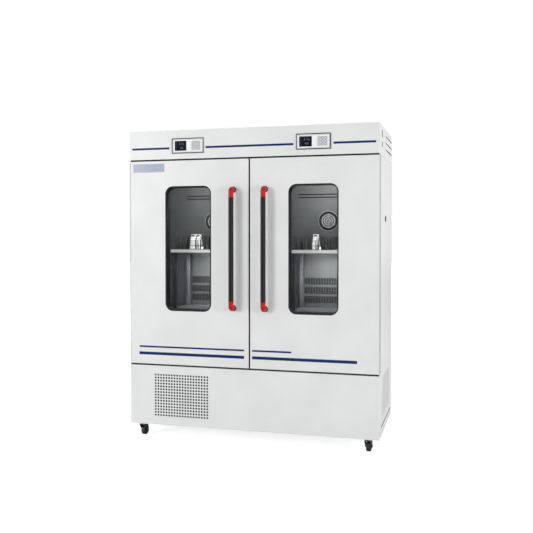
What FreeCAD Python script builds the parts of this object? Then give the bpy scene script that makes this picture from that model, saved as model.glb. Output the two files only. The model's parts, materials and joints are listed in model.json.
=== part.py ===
import FreeCAD, Part
import math
import os

# Double-door shaking incubator, millimetres.
# X runs to the right, Y to the back and Z up.
# The origin is on the floor, in the middle of the whole outline.

Vector = FreeCAD.Vector
X = Vector(1, 0, 0)
Y = Vector(0, 1, 0)
Z = Vector(0, 0, 1)

# Cabinet outline
cabinet_width = 1600.0
cabinet_depth = 700.0
caster_height = 85.0
base_height = 385.0
body_height = 1304.0
header_height = 186.0
handle_reach = 65.0

# Sheet metal, foam and chamber liner
tiny = 1e-6
sheet = 2.0
deck_sheet = 3.0
liner = 1.0
wall_thickness = 60.0
partition_thickness = 128.0
floor_thickness = 50.0
ceiling_thickness = 60.0
rear_thickness = 60.0
header_seam = 2.0

# Fits
running_fit = 0.05
slip_fit = 0.2
soft_gap = 0.3

# Doors
door_thickness = 50.0
door_skin = 1.5
door_edge_radius = 8.0
middle_gap = 8.0
level_gap = 5.0
gasket_thickness = 12.0
gasket_width = 20.0
gasket_inset = 10.0
gasket_behind_pivot = 2.0
plug_thickness = 8.0
plug_margin = 6.0
pivot_inset = 20.0
pivot_pin_radius = 6.0
pivot_pin_depth = 22.0
pivot_end_gap = 1.0
pivot_head_size = 20.0
pivot_head = 3.0
pivot_collar_size = 22.0
pivot_block = 32.0

# Windows
window_width = 308.0
window_height = 791.0
window_bottom = 817.0
window_corner = 50.0
window_seal = 8.0
seal_setback = 1.0
pane_thickness = 5.0
pane_setback = 3.0

# Door handles
handle_offset = 102.0
handle_top = 1596.0
handle_bottom = 829.0
grip_top = 1529.0
grip_bottom = 886.0
grip_radius = 15.0
elbow_radius = 16.0
elbow_bend = 30.0
elbow_cuts = 3
foot_radius = 20.0
foot_thickness = 4.0

# Base grille and service panels
grille_left = 625.0
grille_drop = 64.0
grille_columns = 11
grille_rows = 8
grille_pitch_x = 35.0
grille_pitch_z = 36.8
grille_hole = 20.0
service_front = 105.0
service_rear = 648.0
service_rise = 63.0
service_drop = 35.0
service_lip = 8.0
service_lip_thickness = 1.5
service_columns = 5
service_rows = 6
service_slot_width = 52.0
service_slot_height = 16.0
service_margin_front = 48.0
service_margin_rear = 100.0
service_margin_bottom = 42.0
service_margin_top = 12.0
rear_vent_count = 6
rear_vent_length = 300.0
rear_vent_height = 8.0
rear_vent_pitch = 30.0

# Base frame and machine compartment
post_size = 40.0
post_wall = 3.0
post_inset = 4.0
crossrail_height = 40.0
condenser_width = 380.0
condenser_height = 300.0
condenser_thickness = 50.0
condenser_setback = 30.0
condenser_side_gap = 158.0
condenser_rise = 35.0
condenser_fins = 16
fin_depth = 30.0
fin_thickness = 3.0
cheek_thickness = 3.0
shroud_thickness = 3.0
shroud_opening = 108.0
condenser_fan_radius = 100.0
condenser_fan_gap = 12.0
condenser_fan_blades = 5
strap_width = 24.0
strap_thickness = 3.0
strap_reach = 70.0
small_motor_radius = 38.0
small_motor_length = 45.0
compressor_x = 330.0
compressor_back = 420.0
compressor_radius = 85.0
compressor_height = 215.0
compressor_plate = 5.0
compressor_foot = 14.0
compressor_bevel = 22.0
foot_pad = 20.0
inlet_x = 600.0
inlet_z = 170.0
inlet_width = 48.0
inlet_height = 27.0
inlet_depth = 32.0
inlet_flange = 6.0
inlet_wall = 3.0
inlet_pin_rise = 2.0
inlet_pin_thickness = 2.0
inlet_pin_height = 5.0

# Casters
caster_inset_x = 70.0
caster_inset_front = 42.0
caster_inset_rear = 58.0
caster_plate_size = 60.0
caster_plate = 4.0
caster_swivel = -4.0
caster_trail = 22.0
bearing_radius = 25.0
bearing_height = 7.0
kingpin_radius = 5.0
kingpin_head_radius = 8.0
kingpin_head = 3.0
crown_thickness = 3.0
fork_sheet = 3.0
fork_inside = 35.0
fork_foot = 10.0
fork_foot_drop = 8.0
fork_front = 18.0
wheel_radius = 31.5
wheel_width = 25.0
wheel_hub_width = 34.0
wheel_hub_radius = 11.0
axle_radius = 4.0
axle_end = 3.0

# Header, control modules and side switches
louvre_front = 323.0
louvre_rear = 682.0
louvre_height = 8.0
louvre_count = 3
louvre_first = 42.0
louvre_pitch = 42.0
control_rise = 87.0
control_width = 213.0
control_height = 95.0
control_proud = 4.0
control_lip = 4.0
control_depth = 25.0
display_width = 78.0
display_height = 62.0
display_offset = -47.5
display_thickness = 1.5
display_sunk = 1.0
keypad_width = 65.0
keypad_height = 59.0
keypad_offset = 55.5
keypad_thickness = 0.8
key_size = 12.0
key_pitch = 19.0
key_proud = 0.7
board_width = 240.0
board_depth = 130.0
board_thickness = 2.0
board_back = 80.0
standoff_height = 20.0
standoff_size = 8.0
supply_width = 180.0
supply_depth = 110.0
supply_height = 60.0
supply_back = 420.0
switch_back = 110.0
switch_width = 20.0
switch_rim = 2.0
switch_proud = 1.5
switch_depth = 14.0
upper_switch_height = 43.0
upper_switch_rise = 132.0
lower_switch_height = 31.0
lower_switch_rise = 68.5
rocker_tilt = 6.0
rocker_wall = 2.6
rocker_front = 3.5
rocker_waist = 2.6
rocker_back = 6.0
rocker_pivot_depth = 3.0

# Access ports
port_back = 297.0
port_height = 1401.0
port_bore = 12.0
port_tube = 14.5
port_flange = 18.0
port_flange_thickness = 4.0

# Air duct cover, fans and evaporators
duct_back = 500.0
duct_sheet = 1.5
fan_height = 1394.0
fan_opening = 60.0
guard_outer = 67.0
guard_ring_width = 4.0
guard_rings = 3
guard_wire = 1.5
guard_spoke = 3.0
fan_radius = 54.0
fan_hub_radius = 18.0
fan_blades = 6
fan_gap = 8.0
fan_length = 24.0
blade_thickness = 1.6
blade_pitch = 35.0
blade_fill = 0.7
fan_shaft_radius = 4.0
fan_shaft_length = 26.0
shaft_end_gap = 2.0
motor_gap = 12.0
motor_stand = 36.0
long_slot_width = 410.0
long_slot_height = 6.0
long_slot_first = 1552.0
long_slot_pitch = 20.0
long_slot_count = 2
louvre_row_first = 844.0
louvre_row_pitch = 61.5
louvre_row_count = 3
louvre_row_height = 46.0
louvre_field = 330.0
louvre_slots = 7
louvre_slot_share = 0.45
evaporator_width = 400.0
evaporator_bottom = 840.0
evaporator_height = 330.0
evaporator_thickness = 50.0
evaporator_fins = 16

# Orbital drive
drive_height = 240.0
drive_width = 340.0
drive_depth = 260.0
drive_plate = 8.0
drive_cheek = 4.0
orbit = 13.0
arm_end = 17.0
main_shaft = 10.0
main_pin = 8.0
main_boss = 25.0
boss_depth = 30.0
idler_shaft = 7.0
idler_pin = 6.0
idler_boss = 18.0
idler_arm = 36.0
idler_x = 120.0
idler_y = 85.0
crank_arm = 44.0
crank_thickness = 12.0
crank_gap = 2.0
counterweight_radius = 62.0
counterweight_angle = 120.0
hub_gap = 2.0
hub_depth = 39.0
hub_wall = 12.0
pin_end_gap = 3.0
drive_motor_radius = 65.0
drive_motor_height = 70.0
drive_motor_bore = 50.0

# Rack, flask clamps and flasks
platform_setback = 170.0
platform_width = 374.0
platform_depth = 290.0
platform_sheet = 2.0
lower_edge = 12.0
upper_edge = 21.0
rack_clear_height = 367.0
post_width = 25.0
post_tube_wall = 2.0
post_edge = 8.0
clamp_columns = 4
clamp_rows = 3
clamp_pitch_x = 93.0
clamp_pitch_y = 92.0
clamp_base = 62.0
clamp_sheet = 1.5
clamp_finger_width = 12.0
clamp_rise = 34.0
clamp_waist_rise = 55.0
clamp_top_rise = 83.0
clamp_flare = 26.0
clamp_fingers = 4
flask_base_radius = 30.5
flask_shoulder_radius = 22.0
flask_height = 97.0
flask_wall = 2.0
flask_floor = 3.0
flask_neck_height = 10.0
flask_sides = 32
left_flasks = ((1, 0), (1, 1))
right_flasks = ((1, 1),)

# Levels and planes worked out from the sizes above
half_width = cabinet_width / 2
z_base = caster_height
z_deck = z_base + base_height
z_head = z_deck + body_height
z_top = z_head + header_height
z_service_bottom = z_base + service_rise
z_service_top = z_deck - service_drop
z_floor = z_deck + floor_thickness
z_ceiling = z_head - ceiling_thickness
y_front = (handle_reach - cabinet_depth) / 2
y_rear = y_front + cabinet_depth
y_frame = y_front + door_thickness + gasket_thickness
y_chamber_rear = y_rear - rear_thickness
y_duct = y_front + duct_back
inner_half = half_width - sheet
mouth_inner = partition_thickness / 2
mouth_outer = half_width - wall_thickness
chamber_centre = (mouth_inner + mouth_outer) / 2
condenser_centre = inner_half - condenser_side_gap - condenser_width / 2
z_window_top = window_bottom + window_height
pivot_x = half_width - pivot_inset
pivot_y = y_front + door_thickness / 2
handle_y = y_front - handle_reach + elbow_radius

z_bearing = z_floor + drive_height
z_crank = z_bearing + crank_gap
z_web_top = z_crank + crank_thickness
z_hub = z_web_top + hub_gap
z_lower_deck = z_hub + hub_depth + platform_sheet
z_upper_deck = z_lower_deck + rack_clear_height + upper_edge
z_pin_top = z_hub + hub_depth - pin_end_gap
platform_y = y_front + platform_setback + platform_depth / 2
drive_y = platform_y + orbit
z_clamp = z_upper_deck + clamp_sheet

os.makedirs("parts", exist_ok=True)


def box(x0, x1, y0, y1, z0, z1):
    return Part.makeBox(x1 - x0, y1 - y0, z1 - z0, Vector(x0, y0, z0))


def rod(radius, start, direction, length):
    return Part.makeCylinder(radius, length, start, direction)


def prism(points, along):
    wire = Part.makePolygon(points + [points[0]])
    return Part.Face(wire).extrude(along)


def turned(profile, centre, direction):
    # profile is a closed list of (radius, height) pairs about the Z axis
    points = [Vector(r, 0, h) for r, h in profile]
    wire = Part.makePolygon(points + [points[0]])
    solid = Part.Face(wire).revolve(Vector(0, 0, 0), Z, 360)
    return placed(solid, FreeCAD.Placement(centre, FreeCAD.Rotation(Z, direction)))


def placed(shape, place):
    copy = shape.copy()
    copy.Placement = place.multiply(copy.Placement)
    return copy


def moved(shape, x=0.0, y=0.0, z=0.0):
    return placed(shape, FreeCAD.Placement(Vector(x, y, z), FreeCAD.Rotation()))


def spun(shape, centre, axis, angle):
    copy = shape.copy()
    copy.rotate(centre, axis, angle)
    return copy


def mirrored(shape):
    return shape.mirror(Vector(0, 0, 0), X)


def both_sides(shape):
    return [shape, mirrored(shape)]


def both_chambers(shape):
    # the shape is drawn about x = 0 and repeated on each chamber's centre line
    return [moved(shape, x=-chamber_centre), moved(shape, x=chamber_centre)]


def fused(shapes):
    first = shapes[0]
    joined = first.fuse(shapes[1:]) if len(shapes) > 1 else first
    return joined.removeSplitter()


def cut_all(shape, tools):
    return shape.cut(Part.makeCompound(tools))


def many_sided(levels, sides, z):
    # flat-sided solid of (radius, height) rings about the Z axis, near enough round to stand for it
    rings = []
    for radius, height in levels:
        corners = []
        for i in range(sides):
            angle = 2 * math.pi * i / sides
            corners.append(Vector(radius * math.cos(angle), radius * math.sin(angle), z + height))
        rings.append(corners)
    outlines = [rings[0], rings[-1]]
    for low, high in zip(rings, rings[1:]):
        for i in range(sides):
            j = (i + 1) % sides
            outlines.append([low[i], low[j], high[j], high[i]])
    faces = [Part.Face(Part.makePolygon(points + [points[0]])) for points in outlines]
    return Part.Solid(Part.Shell(faces))


def rounded_plate(x0, x1, y0, y1, z0, z1, radius, axis):
    # a box with its four edges along the given axis rounded
    plate = box(x0, x1, y0, y1, z0, z1)
    edges = [e for e in plate.Edges if abs(abs(e.tangentAt(0).dot(axis)) - 1) < tiny]
    return plate.makeFillet(radius, edges)


def save(name, solids):
    shape = solids[0] if len(solids) == 1 else Part.makeCompound(solids)
    shape.exportStep(f"parts/{name}.step")


# Outer cabinet

def side_panel():
    outline = [
        Vector(inner_half, y_front, z_base),
        Vector(inner_half, y_front, z_deck),
        Vector(inner_half, y_frame, z_deck),
        Vector(inner_half, y_frame, z_head - header_seam),
        Vector(inner_half, y_rear, z_head - header_seam),
        Vector(inner_half, y_rear, z_base),
    ]
    panel = prism(outline, Vector(sheet, 0, 0))
    service = box(
        inner_half, half_width,
        y_front + service_front, y_front + service_rear,
        z_service_bottom, z_service_top,
    )
    start = Vector(inner_half, y_front + port_back, port_height)
    port = rod(port_tube + slip_fit, start, X, sheet)
    return cut_all(panel, [service, port])


def rear_panel():
    panel = box(-inner_half, inner_half, y_rear - sheet, y_rear, z_base, z_head - header_seam)
    inlet = box(
        inlet_x - inlet_width / 2, inlet_x + inlet_width / 2,
        y_rear - sheet, y_rear,
        inlet_z - inlet_height / 2, inlet_z + inlet_height / 2,
    )
    vents = []
    for i in range(rear_vent_count):
        z = (z_base + z_deck) / 2 + (i - (rear_vent_count - 1) / 2) * rear_vent_pitch
        half = rear_vent_length / 2
        vents.append(box(-half, half, y_rear - sheet, y_rear, z, z + rear_vent_height))
    return cut_all(panel, [inlet] + vents)


def front_frame():
    # folded strips round the two chamber mouths, where the door gaskets close
    y0 = y_frame
    y1 = y_frame + sheet
    sill = box(-inner_half, inner_half, y0, y1, z_deck, z_floor)
    lintel = box(-inner_half, inner_half, y0, y1, z_ceiling, z_head)
    mullion = box(-mouth_inner, mouth_inner, y0, y1, z_floor, z_ceiling)
    stile = box(mouth_outer, inner_half, y0, y1, z_floor, z_ceiling)
    return [sill, lintel, mullion] + both_sides(stile)


def insulation():
    front = y_frame + sheet
    rear = y_chamber_rear + liner
    inner = mouth_inner - liner
    outer = mouth_outer + liner
    wall = box(outer, inner_half, front, y_rear - sheet, z_deck, z_head)
    start = Vector(outer, y_front + port_back, port_height)
    port = rod(port_tube + slip_fit, start, X, inner_half - outer)
    floor = box(inner, outer, front, rear, z_deck, z_floor - liner)
    ceiling = box(inner, outer, front, rear, z_ceiling + liner, z_head)
    partition = box(-inner, inner, front, rear, z_deck, z_head)
    back = box(-outer, outer, rear, y_rear - sheet, z_deck, z_head)
    return both_sides(wall.cut(port)) + both_sides(floor) + both_sides(ceiling) + [partition, back]


def chamber_liner():
    shell = box(
        mouth_inner - liner, mouth_outer + liner,
        y_frame + sheet, y_chamber_rear + liner,
        z_floor - liner, z_ceiling + liner,
    )
    room = box(mouth_inner, mouth_outer, y_frame + sheet, y_chamber_rear, z_floor, z_ceiling)
    start = Vector(mouth_outer, y_front + port_back, port_height)
    port = rod(port_tube + slip_fit, start, X, liner)
    return cut_all(shell, [room, port])


def access_port():
    start = Vector(mouth_outer, y_front + port_back, port_height)
    tube = rod(port_tube, start, X, wall_thickness)
    flange = rod(port_flange, Vector(half_width, start.y, start.z), X, port_flange_thickness)
    bore = rod(port_bore, start, X, wall_thickness + port_flange_thickness)
    return fused([tube, flange]).cut(bore)


save("outer_panels", both_sides(side_panel()) + [rear_panel()] + front_frame())
save("insulation", insulation())
save("chamber_liners", both_sides(chamber_liner()))
save("access_ports", both_sides(access_port()))


# Base and machine compartment

def base_front_panel():
    panel = box(-inner_half, inner_half, y_front, y_front + sheet, z_base, z_deck)
    holes = []
    for column in range(grille_columns):
        for row in range(grille_rows):
            x = -grille_left + column * grille_pitch_x
            z = z_deck - grille_drop - row * grille_pitch_z
            half = grille_hole / 2
            holes.append(box(x - half, x + half, y_front, y_front + sheet, z - half, z + half))
    return cut_all(panel, holes)


def service_panel():
    front = y_front + service_front
    rear = y_front + service_rear
    plate = box(inner_half, half_width, front, rear, z_service_bottom, z_service_top)
    lip = box(
        inner_half - service_lip_thickness, inner_half,
        front - service_lip, rear + service_lip,
        z_service_bottom - service_lip, z_service_top + service_lip,
    )
    inside = box(
        inner_half - service_lip_thickness, inner_half,
        front + service_lip, rear - service_lip,
        z_service_bottom + service_lip, z_service_top - service_lip,
    )
    first_y = front + service_margin_front + service_slot_width / 2
    last_y = rear - service_margin_rear - service_slot_width / 2
    first_z = z_service_bottom + service_margin_bottom + service_slot_height / 2
    last_z = z_service_top - service_margin_top - service_slot_height / 2
    slots = []
    for column in range(service_columns):
        for row in range(service_rows):
            y = first_y + (last_y - first_y) * column / (service_columns - 1)
            z = first_z + (last_z - first_z) * row / (service_rows - 1)
            slots.append(box(
                inner_half, half_width,
                y - service_slot_width / 2, y + service_slot_width / 2,
                z - service_slot_height / 2, z + service_slot_height / 2,
            ))
    return cut_all(fused([plate, lip.cut(inside)]), slots)


def base_frame():
    front = y_front + sheet
    rear = y_rear - sheet
    tray = box(-inner_half, inner_half, front, rear, z_base, z_base + deck_sheet)
    deck = box(-inner_half, inner_half, front, rear, z_deck - deck_sheet, z_deck)
    start = Vector(pivot_x, pivot_y, z_deck - deck_sheet)
    hole = rod(pivot_pin_radius + running_fit, start, Z, deck_sheet)
    posts = []
    x1 = inner_half - post_inset
    for y, toward in ((front + post_inset, 1), (rear - post_inset, -1)):
        outline = [
            Vector(x1, y, z_base + deck_sheet),
            Vector(x1 - post_size, y, z_base + deck_sheet),
            Vector(x1 - post_size, y + toward * post_wall, z_base + deck_sheet),
            Vector(x1 - post_wall, y + toward * post_wall, z_base + deck_sheet),
            Vector(x1 - post_wall, y + toward * post_size, z_base + deck_sheet),
            Vector(x1, y + toward * post_size, z_base + deck_sheet),
        ]
        posts += both_sides(prism(outline, Vector(0, 0, base_height - 2 * deck_sheet)))
    rail = box(
        -post_size / 2, post_size / 2,
        front + post_inset, rear - post_inset,
        z_deck - deck_sheet - crossrail_height, z_deck - deck_sheet,
    )
    rails = [moved(rail, x=-condenser_centre / 2), moved(rail, x=condenser_centre / 2)]
    return [tray, cut_all(deck, both_sides(hole))] + posts + rails


def condenser():
    left = -condenser_centre - condenser_width / 2
    right = left + condenser_width
    front = y_front + condenser_setback
    rear = front + condenser_thickness
    z0 = z_base + condenser_rise
    z1 = z0 + condenser_height
    pitch = condenser_width / condenser_fins
    outline = [Vector(left, rear, z0), Vector(left, front, z0)]
    for i in range(1, condenser_fins):
        x = left + i * pitch - pitch / 2 + fin_thickness / 2
        outline += [
            Vector(x, front, z0),
            Vector(x, front + fin_depth, z0),
            Vector(x + pitch - fin_thickness, front + fin_depth, z0),
            Vector(x + pitch - fin_thickness, front, z0),
        ]
    outline += [Vector(right, front, z0), Vector(right, rear, z0)]
    core = prism(outline, Vector(0, 0, condenser_height))
    cheeks = []
    for x in (left - cheek_thickness, right):
        cheeks.append(box(x, x + cheek_thickness, front, rear, z_base + deck_sheet, z1))
    return [core] + cheeks


def fan_shroud():
    # plate behind the condenser, with the fan motor carried on a strap
    rear = y_front + condenser_setback + condenser_thickness
    z0 = z_base + condenser_rise
    z1 = z0 + condenser_height
    zc = (z0 + z1) / 2
    xc = -condenser_centre
    plate = box(
        xc - condenser_width / 2, xc + condenser_width / 2,
        rear, rear + shroud_thickness, z0, z1,
    )
    hole = rod(shroud_opening, Vector(xc, rear, zc), Y, shroud_thickness)
    reach = shroud_opening + strap_width
    strap = box(
        xc - reach, xc + reach,
        rear + shroud_thickness, rear + strap_reach,
        zc - strap_width / 2, zc + strap_width / 2,
    )
    gap = box(
        xc - reach + strap_thickness, xc + reach - strap_thickness,
        rear + shroud_thickness, rear + strap_reach - strap_thickness,
        zc - strap_width / 2, zc + strap_width / 2,
    )
    motor_front = rear + strap_reach - strap_thickness - small_motor_length / 2
    motor = rod(small_motor_radius, Vector(xc, motor_front, zc), Y, small_motor_length)
    bore = rod(fan_shaft_radius + running_fit, Vector(xc, motor_front, zc), Y, fan_shaft_length)
    return fused([plate.cut(hole), strap.cut(gap), motor]).cut(bore)


def axial_fan(radius, blades, length, front, xc, zc, shaft_rear):
    # hub with its shaft to the rear and flat pitched blades
    hub = rod(fan_hub_radius, Vector(xc, front, zc), Y, length)
    shaft = rod(fan_shaft_radius, Vector(xc, front, zc), Y, shaft_rear - front)
    chord = length * blade_fill / math.sin(math.radians(blade_pitch))
    solids = [hub, shaft]
    middle = front + length / 2
    for i in range(blades):
        blade = box(
            xc + fan_hub_radius / 2, xc + radius,
            middle - blade_thickness / 2, middle + blade_thickness / 2,
            zc - chord / 2, zc + chord / 2,
        )
        blade = spun(blade, Vector(xc, middle, zc), X, blade_pitch)
        solids.append(spun(blade, Vector(xc, middle, zc), Y, 360 * i / blades))
    return fused(solids)


def condenser_fan():
    rear = y_front + condenser_setback + condenser_thickness
    motor_front = rear + strap_reach - strap_thickness - small_motor_length / 2
    zc = z_base + condenser_rise + condenser_height / 2
    shaft_rear = motor_front + fan_shaft_length - shaft_end_gap
    front = rear + condenser_fan_gap
    length = motor_front - condenser_fan_gap / 2 - front
    return axial_fan(
        condenser_fan_radius, condenser_fan_blades, length,
        front, -condenser_centre, zc, shaft_rear,
    )


def compressor():
    centre = Vector(compressor_x, y_front + compressor_back, z_base + deck_sheet)
    r = compressor_radius
    h = compressor_height
    foot = compressor_foot
    bevel = compressor_bevel
    pot = turned([(0, foot), (r, foot), (r, h - bevel), (r - bevel, h), (0, h)], centre, Z)
    reach = r + compressor_foot
    plate = box(
        centre.x - reach, centre.x + reach, centre.y - r, centre.y + r,
        centre.z + foot - compressor_plate, centre.z + foot,
    )
    feet = []
    for sx in (-1, 1):
        for sy in (-1, 1):
            x = centre.x + sx * (reach - foot_pad)
            y = centre.y + sy * (r - foot_pad)
            half = foot_pad / 2
            pad_top = centre.z + foot - compressor_plate
            feet.append(box(x - half, x + half, y - half, y + half, centre.z, pad_top))
    return [fused([pot, plate])] + feet


def power_inlet():
    half_w = inlet_width / 2 - slip_fit
    half_h = inlet_height / 2 - slip_fit
    face = y_rear - sheet / 4
    body = box(
        inlet_x - half_w, inlet_x + half_w,
        face - inlet_depth, face,
        inlet_z - half_h, inlet_z + half_h,
    )
    flange = box(
        inlet_x - half_w - inlet_flange, inlet_x + half_w + inlet_flange,
        y_rear - 2 * sheet, y_rear - sheet,
        inlet_z - half_h - inlet_flange, inlet_z + half_h + inlet_flange,
    )
    well = box(
        inlet_x - half_w + inlet_wall, inlet_x + half_w - inlet_wall,
        face - inlet_depth + inlet_wall, face,
        inlet_z - half_h + inlet_wall, inlet_z + half_h - inlet_wall,
    )
    pins = []
    for i in (-1, 0, 1):
        x = inlet_x + i * inlet_width / 4
        z = inlet_z + inlet_pin_rise * (1 if i == 0 else -1)
        w = inlet_pin_thickness / 2
        h = inlet_pin_height / 2
        root = face - inlet_depth + inlet_wall
        pins.append(box(x - w, x + w, root, face - 2 * inlet_wall, z - h, z + h))
    return fused([fused([body, flange]).cut(well)] + pins)


save("base_front_panel", [base_front_panel()])
save("service_panels", both_sides(service_panel()))
save("base_frame", base_frame())
save("condenser", condenser() + [fan_shroud()])
save("condenser_fan", [condenser_fan()])
save("compressor", compressor())
save("power_inlet", [power_inlet()])


# Casters

z_plate = caster_height - caster_plate
z_bearing_bottom = z_plate - bearing_height
z_crown_top = z_bearing_bottom - soft_gap
z_crown = z_crown_top - crown_thickness
z_axle = wheel_radius
caster_places = {
    "front_left": (-1, y_front + caster_inset_front),
    "front_right": (1, y_front + caster_inset_front),
    "rear_left": (-1, y_rear - caster_inset_rear),
    "rear_right": (1, y_rear - caster_inset_rear),
}


def caster_plate_piece():
    half = caster_plate_size / 2
    plate = box(-half, half, -half, half, z_plate, caster_height)
    bearing = rod(bearing_radius, Vector(0, 0, z_bearing_bottom), Z, bearing_height)
    head_bottom = z_crown - soft_gap - kingpin_head
    pin = rod(kingpin_radius, Vector(0, 0, head_bottom), Z, z_plate - head_bottom)
    head = rod(kingpin_head_radius, Vector(0, 0, head_bottom), Z, kingpin_head)
    return fused([plate, bearing, pin, head])


def fork_and_axle():
    inside = fork_inside / 2
    outside = inside + fork_sheet
    foot = fork_foot
    crown = box(-outside, outside, -fork_front, caster_trail + foot / 2, z_crown, z_crown_top)
    hole = rod(kingpin_radius + running_fit, Vector(0, 0, z_crown), Z, crown_thickness)
    outline = [
        Vector(inside, -fork_front, z_crown_top),
        Vector(inside, caster_trail + foot / 2, z_crown_top),
        Vector(inside, caster_trail + foot, z_axle),
        Vector(inside, caster_trail + foot / 2, z_axle - fork_foot_drop),
        Vector(inside, caster_trail - foot / 2, z_axle - fork_foot_drop),
        Vector(inside, caster_trail - foot, z_axle),
        Vector(inside, -fork_front, z_crown - kingpin_head),
    ]
    leg = prism(outline, Vector(fork_sheet, 0, 0))
    axle_hole = rod(axle_radius + running_fit, Vector(-outside, caster_trail, z_axle), X, 2 * outside)
    fork = fused([crown.cut(hole), leg, mirrored(leg)]).cut(axle_hole)
    end = outside + axle_end
    axle = rod(axle_radius, Vector(-end, caster_trail, z_axle), X, 2 * end)
    return [fork, axle]


def caster_wheel():
    half = wheel_width / 2
    hub = wheel_hub_width / 2
    bore = axle_radius + running_fit
    return turned([
        (bore, -hub), (wheel_hub_radius, -hub), (wheel_hub_radius, -half), (wheel_radius, -half),
        (wheel_radius, half), (wheel_hub_radius, half), (wheel_hub_radius, hub), (bore, hub),
    ], Vector(0, caster_trail, z_axle), X)


def at_caster(shape, side, y):
    turned_shape = spun(shape, Vector(0, 0, 0), Z, caster_swivel)
    return moved(turned_shape, x=side * (half_width - caster_inset_x), y=y)


plates = []
for name, (side, y) in caster_places.items():
    plates.append(moved(caster_plate_piece(), x=side * (half_width - caster_inset_x), y=y))
    save("caster_fork_" + name, [at_caster(piece, side, y) for piece in fork_and_axle()])
    save("caster_wheel_" + name, [at_caster(caster_wheel(), side, y)])
save("caster_plates", plates)


# Header

switches = (
    (upper_switch_rise, upper_switch_height),
    (lower_switch_rise, lower_switch_height),
)


def header_shell():
    shell = box(-half_width, half_width, y_front, y_rear, z_head, z_top)
    room = box(-inner_half, inner_half, y_front + sheet, y_rear - sheet, z_head, z_top - sheet)
    cuts = [room]
    for x in (-chamber_centre, chamber_centre):
        half_w = control_width / 2 - control_lip
        half_h = control_height / 2 - control_lip
        z = z_head + control_rise
        cuts.append(box(x - half_w, x + half_w, y_front, y_front + sheet, z - half_h, z + half_h))
    for i in range(louvre_count):
        z = z_top - louvre_first - i * louvre_pitch
        slot = box(
            inner_half, half_width,
            y_front + louvre_front, y_front + louvre_rear,
            z - louvre_height / 2, z + louvre_height / 2,
        )
        cuts += both_sides(slot)
    for rise, height in switches:
        y = y_front + switch_back
        half_w = switch_width / 2 - switch_rim
        half_h = height / 2 - switch_rim
        z = z_head + rise
        cuts.append(box(inner_half, half_width, y - half_w, y + half_w, z - half_h, z + half_h))
    return cut_all(shell, cuts)


def header_plate():
    plate = box(-inner_half, inner_half, y_front + sheet, y_rear - sheet, z_head, z_head + deck_sheet)
    hole = rod(pivot_pin_radius + running_fit, Vector(pivot_x, pivot_y, z_head), Z, deck_sheet)
    return cut_all(plate, both_sides(hole))


def header_electronics():
    z0 = z_head + deck_sheet
    y0 = y_front + board_back
    z_board = z0 + standoff_height
    pieces = [box(
        -board_width / 2, board_width / 2,
        y0, y0 + board_depth,
        z_board, z_board + board_thickness,
    )]
    for sx in (-1, 1):
        for y in (y0, y0 + board_depth - standoff_size):
            x = sx * (board_width - standoff_size) / 2
            half = standoff_size / 2
            pieces.append(box(x - half, x + half, y, y + standoff_size, z0, z_board))
    boards = both_chambers(fused(pieces))
    half = supply_width / 2
    y1 = y_front + supply_back
    supply = box(-half, half, y1, y1 + supply_depth, z0, z0 + supply_height)
    return boards + [supply]


def control_bezel():
    half_w = control_width / 2
    half_h = control_height / 2
    z = z_head + control_rise
    face = y_front - control_proud
    flange = rounded_plate(-half_w, half_w, face, y_front, z - half_h, z + half_h, control_lip, Y)
    body_w = half_w - control_lip - slip_fit
    body_h = half_h - control_lip - slip_fit
    body = box(-body_w, body_w, y_front, y_front + control_depth, z - body_h, z + body_h)
    pocket = box(
        display_offset - display_width / 2, display_offset + display_width / 2,
        face, face + display_sunk + display_thickness,
        z - display_height / 2, z + display_height / 2,
    )
    return fused([flange, body]).cut(pocket)


def control_display():
    z = z_head + control_rise
    face = y_front - control_proud + display_sunk
    return box(
        display_offset - display_width / 2, display_offset + display_width / 2,
        face, face + display_thickness,
        z - display_height / 2, z + display_height / 2,
    )


def control_keypad():
    z = z_head + control_rise
    face = y_front - control_proud
    pieces = [box(
        keypad_offset - keypad_width / 2, keypad_offset + keypad_width / 2,
        face - keypad_thickness, face,
        z - keypad_height / 2, z + keypad_height / 2,
    )]
    half = key_size / 2
    for column in (-1, 0, 1):
        for row in (-1, 0, 1):
            x = keypad_offset + column * key_pitch
            zk = z + row * key_pitch * keypad_height / keypad_width
            pieces.append(box(
                x - half, x + half,
                face - keypad_thickness - key_proud, face - keypad_thickness,
                zk - half, zk + half,
            ))
    return fused(pieces)


def rocker_half(height):
    return height / 2 - switch_rim - rocker_wall


def switch_bezel(rise, height):
    y = y_front + switch_back
    z = z_head + rise
    # the well is as tall as the rocker's corners reach when it turns
    pocket = math.hypot(rocker_half(height), rocker_front) + soft_gap
    flange = box(
        half_width, half_width + switch_proud,
        y - switch_width / 2, y + switch_width / 2, z - height / 2, z + height / 2,
    )
    half_w = switch_width / 2 - switch_rim - slip_fit
    half_h = height / 2 - switch_rim - slip_fit
    body = box(half_width - switch_depth, half_width, y - half_w, y + half_w, z - half_h, z + half_h)
    well_w = switch_width / 2 - switch_rim - rocker_wall + soft_gap
    well = box(
        half_width - switch_depth + switch_rim, half_width + switch_proud,
        y - well_w, y + well_w, z - pocket, z + pocket,
    )
    return fused([flange, body]).cut(well)


def switch_rocker(rise, height):
    y = y_front + switch_back
    z = z_head + rise
    x = half_width - rocker_pivot_depth
    rocker = rocker_half(height)
    half_w = switch_width / 2 - switch_rim - rocker_wall
    outline = [
        (rocker_front, -rocker), (rocker_waist, 0), (rocker_front, rocker),
        (-rocker_front / 3, rocker), (-rocker_back, rocker / 5),
        (-rocker_back, -rocker / 5), (-rocker_front / 3, -rocker),
    ]
    points = [Vector(x + dx, y - half_w, z + dz) for dx, dz in outline]
    piece = prism(points, Vector(0, 2 * half_w, 0))
    return spun(piece, Vector(x, y, z), Y, -rocker_tilt)


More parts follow.
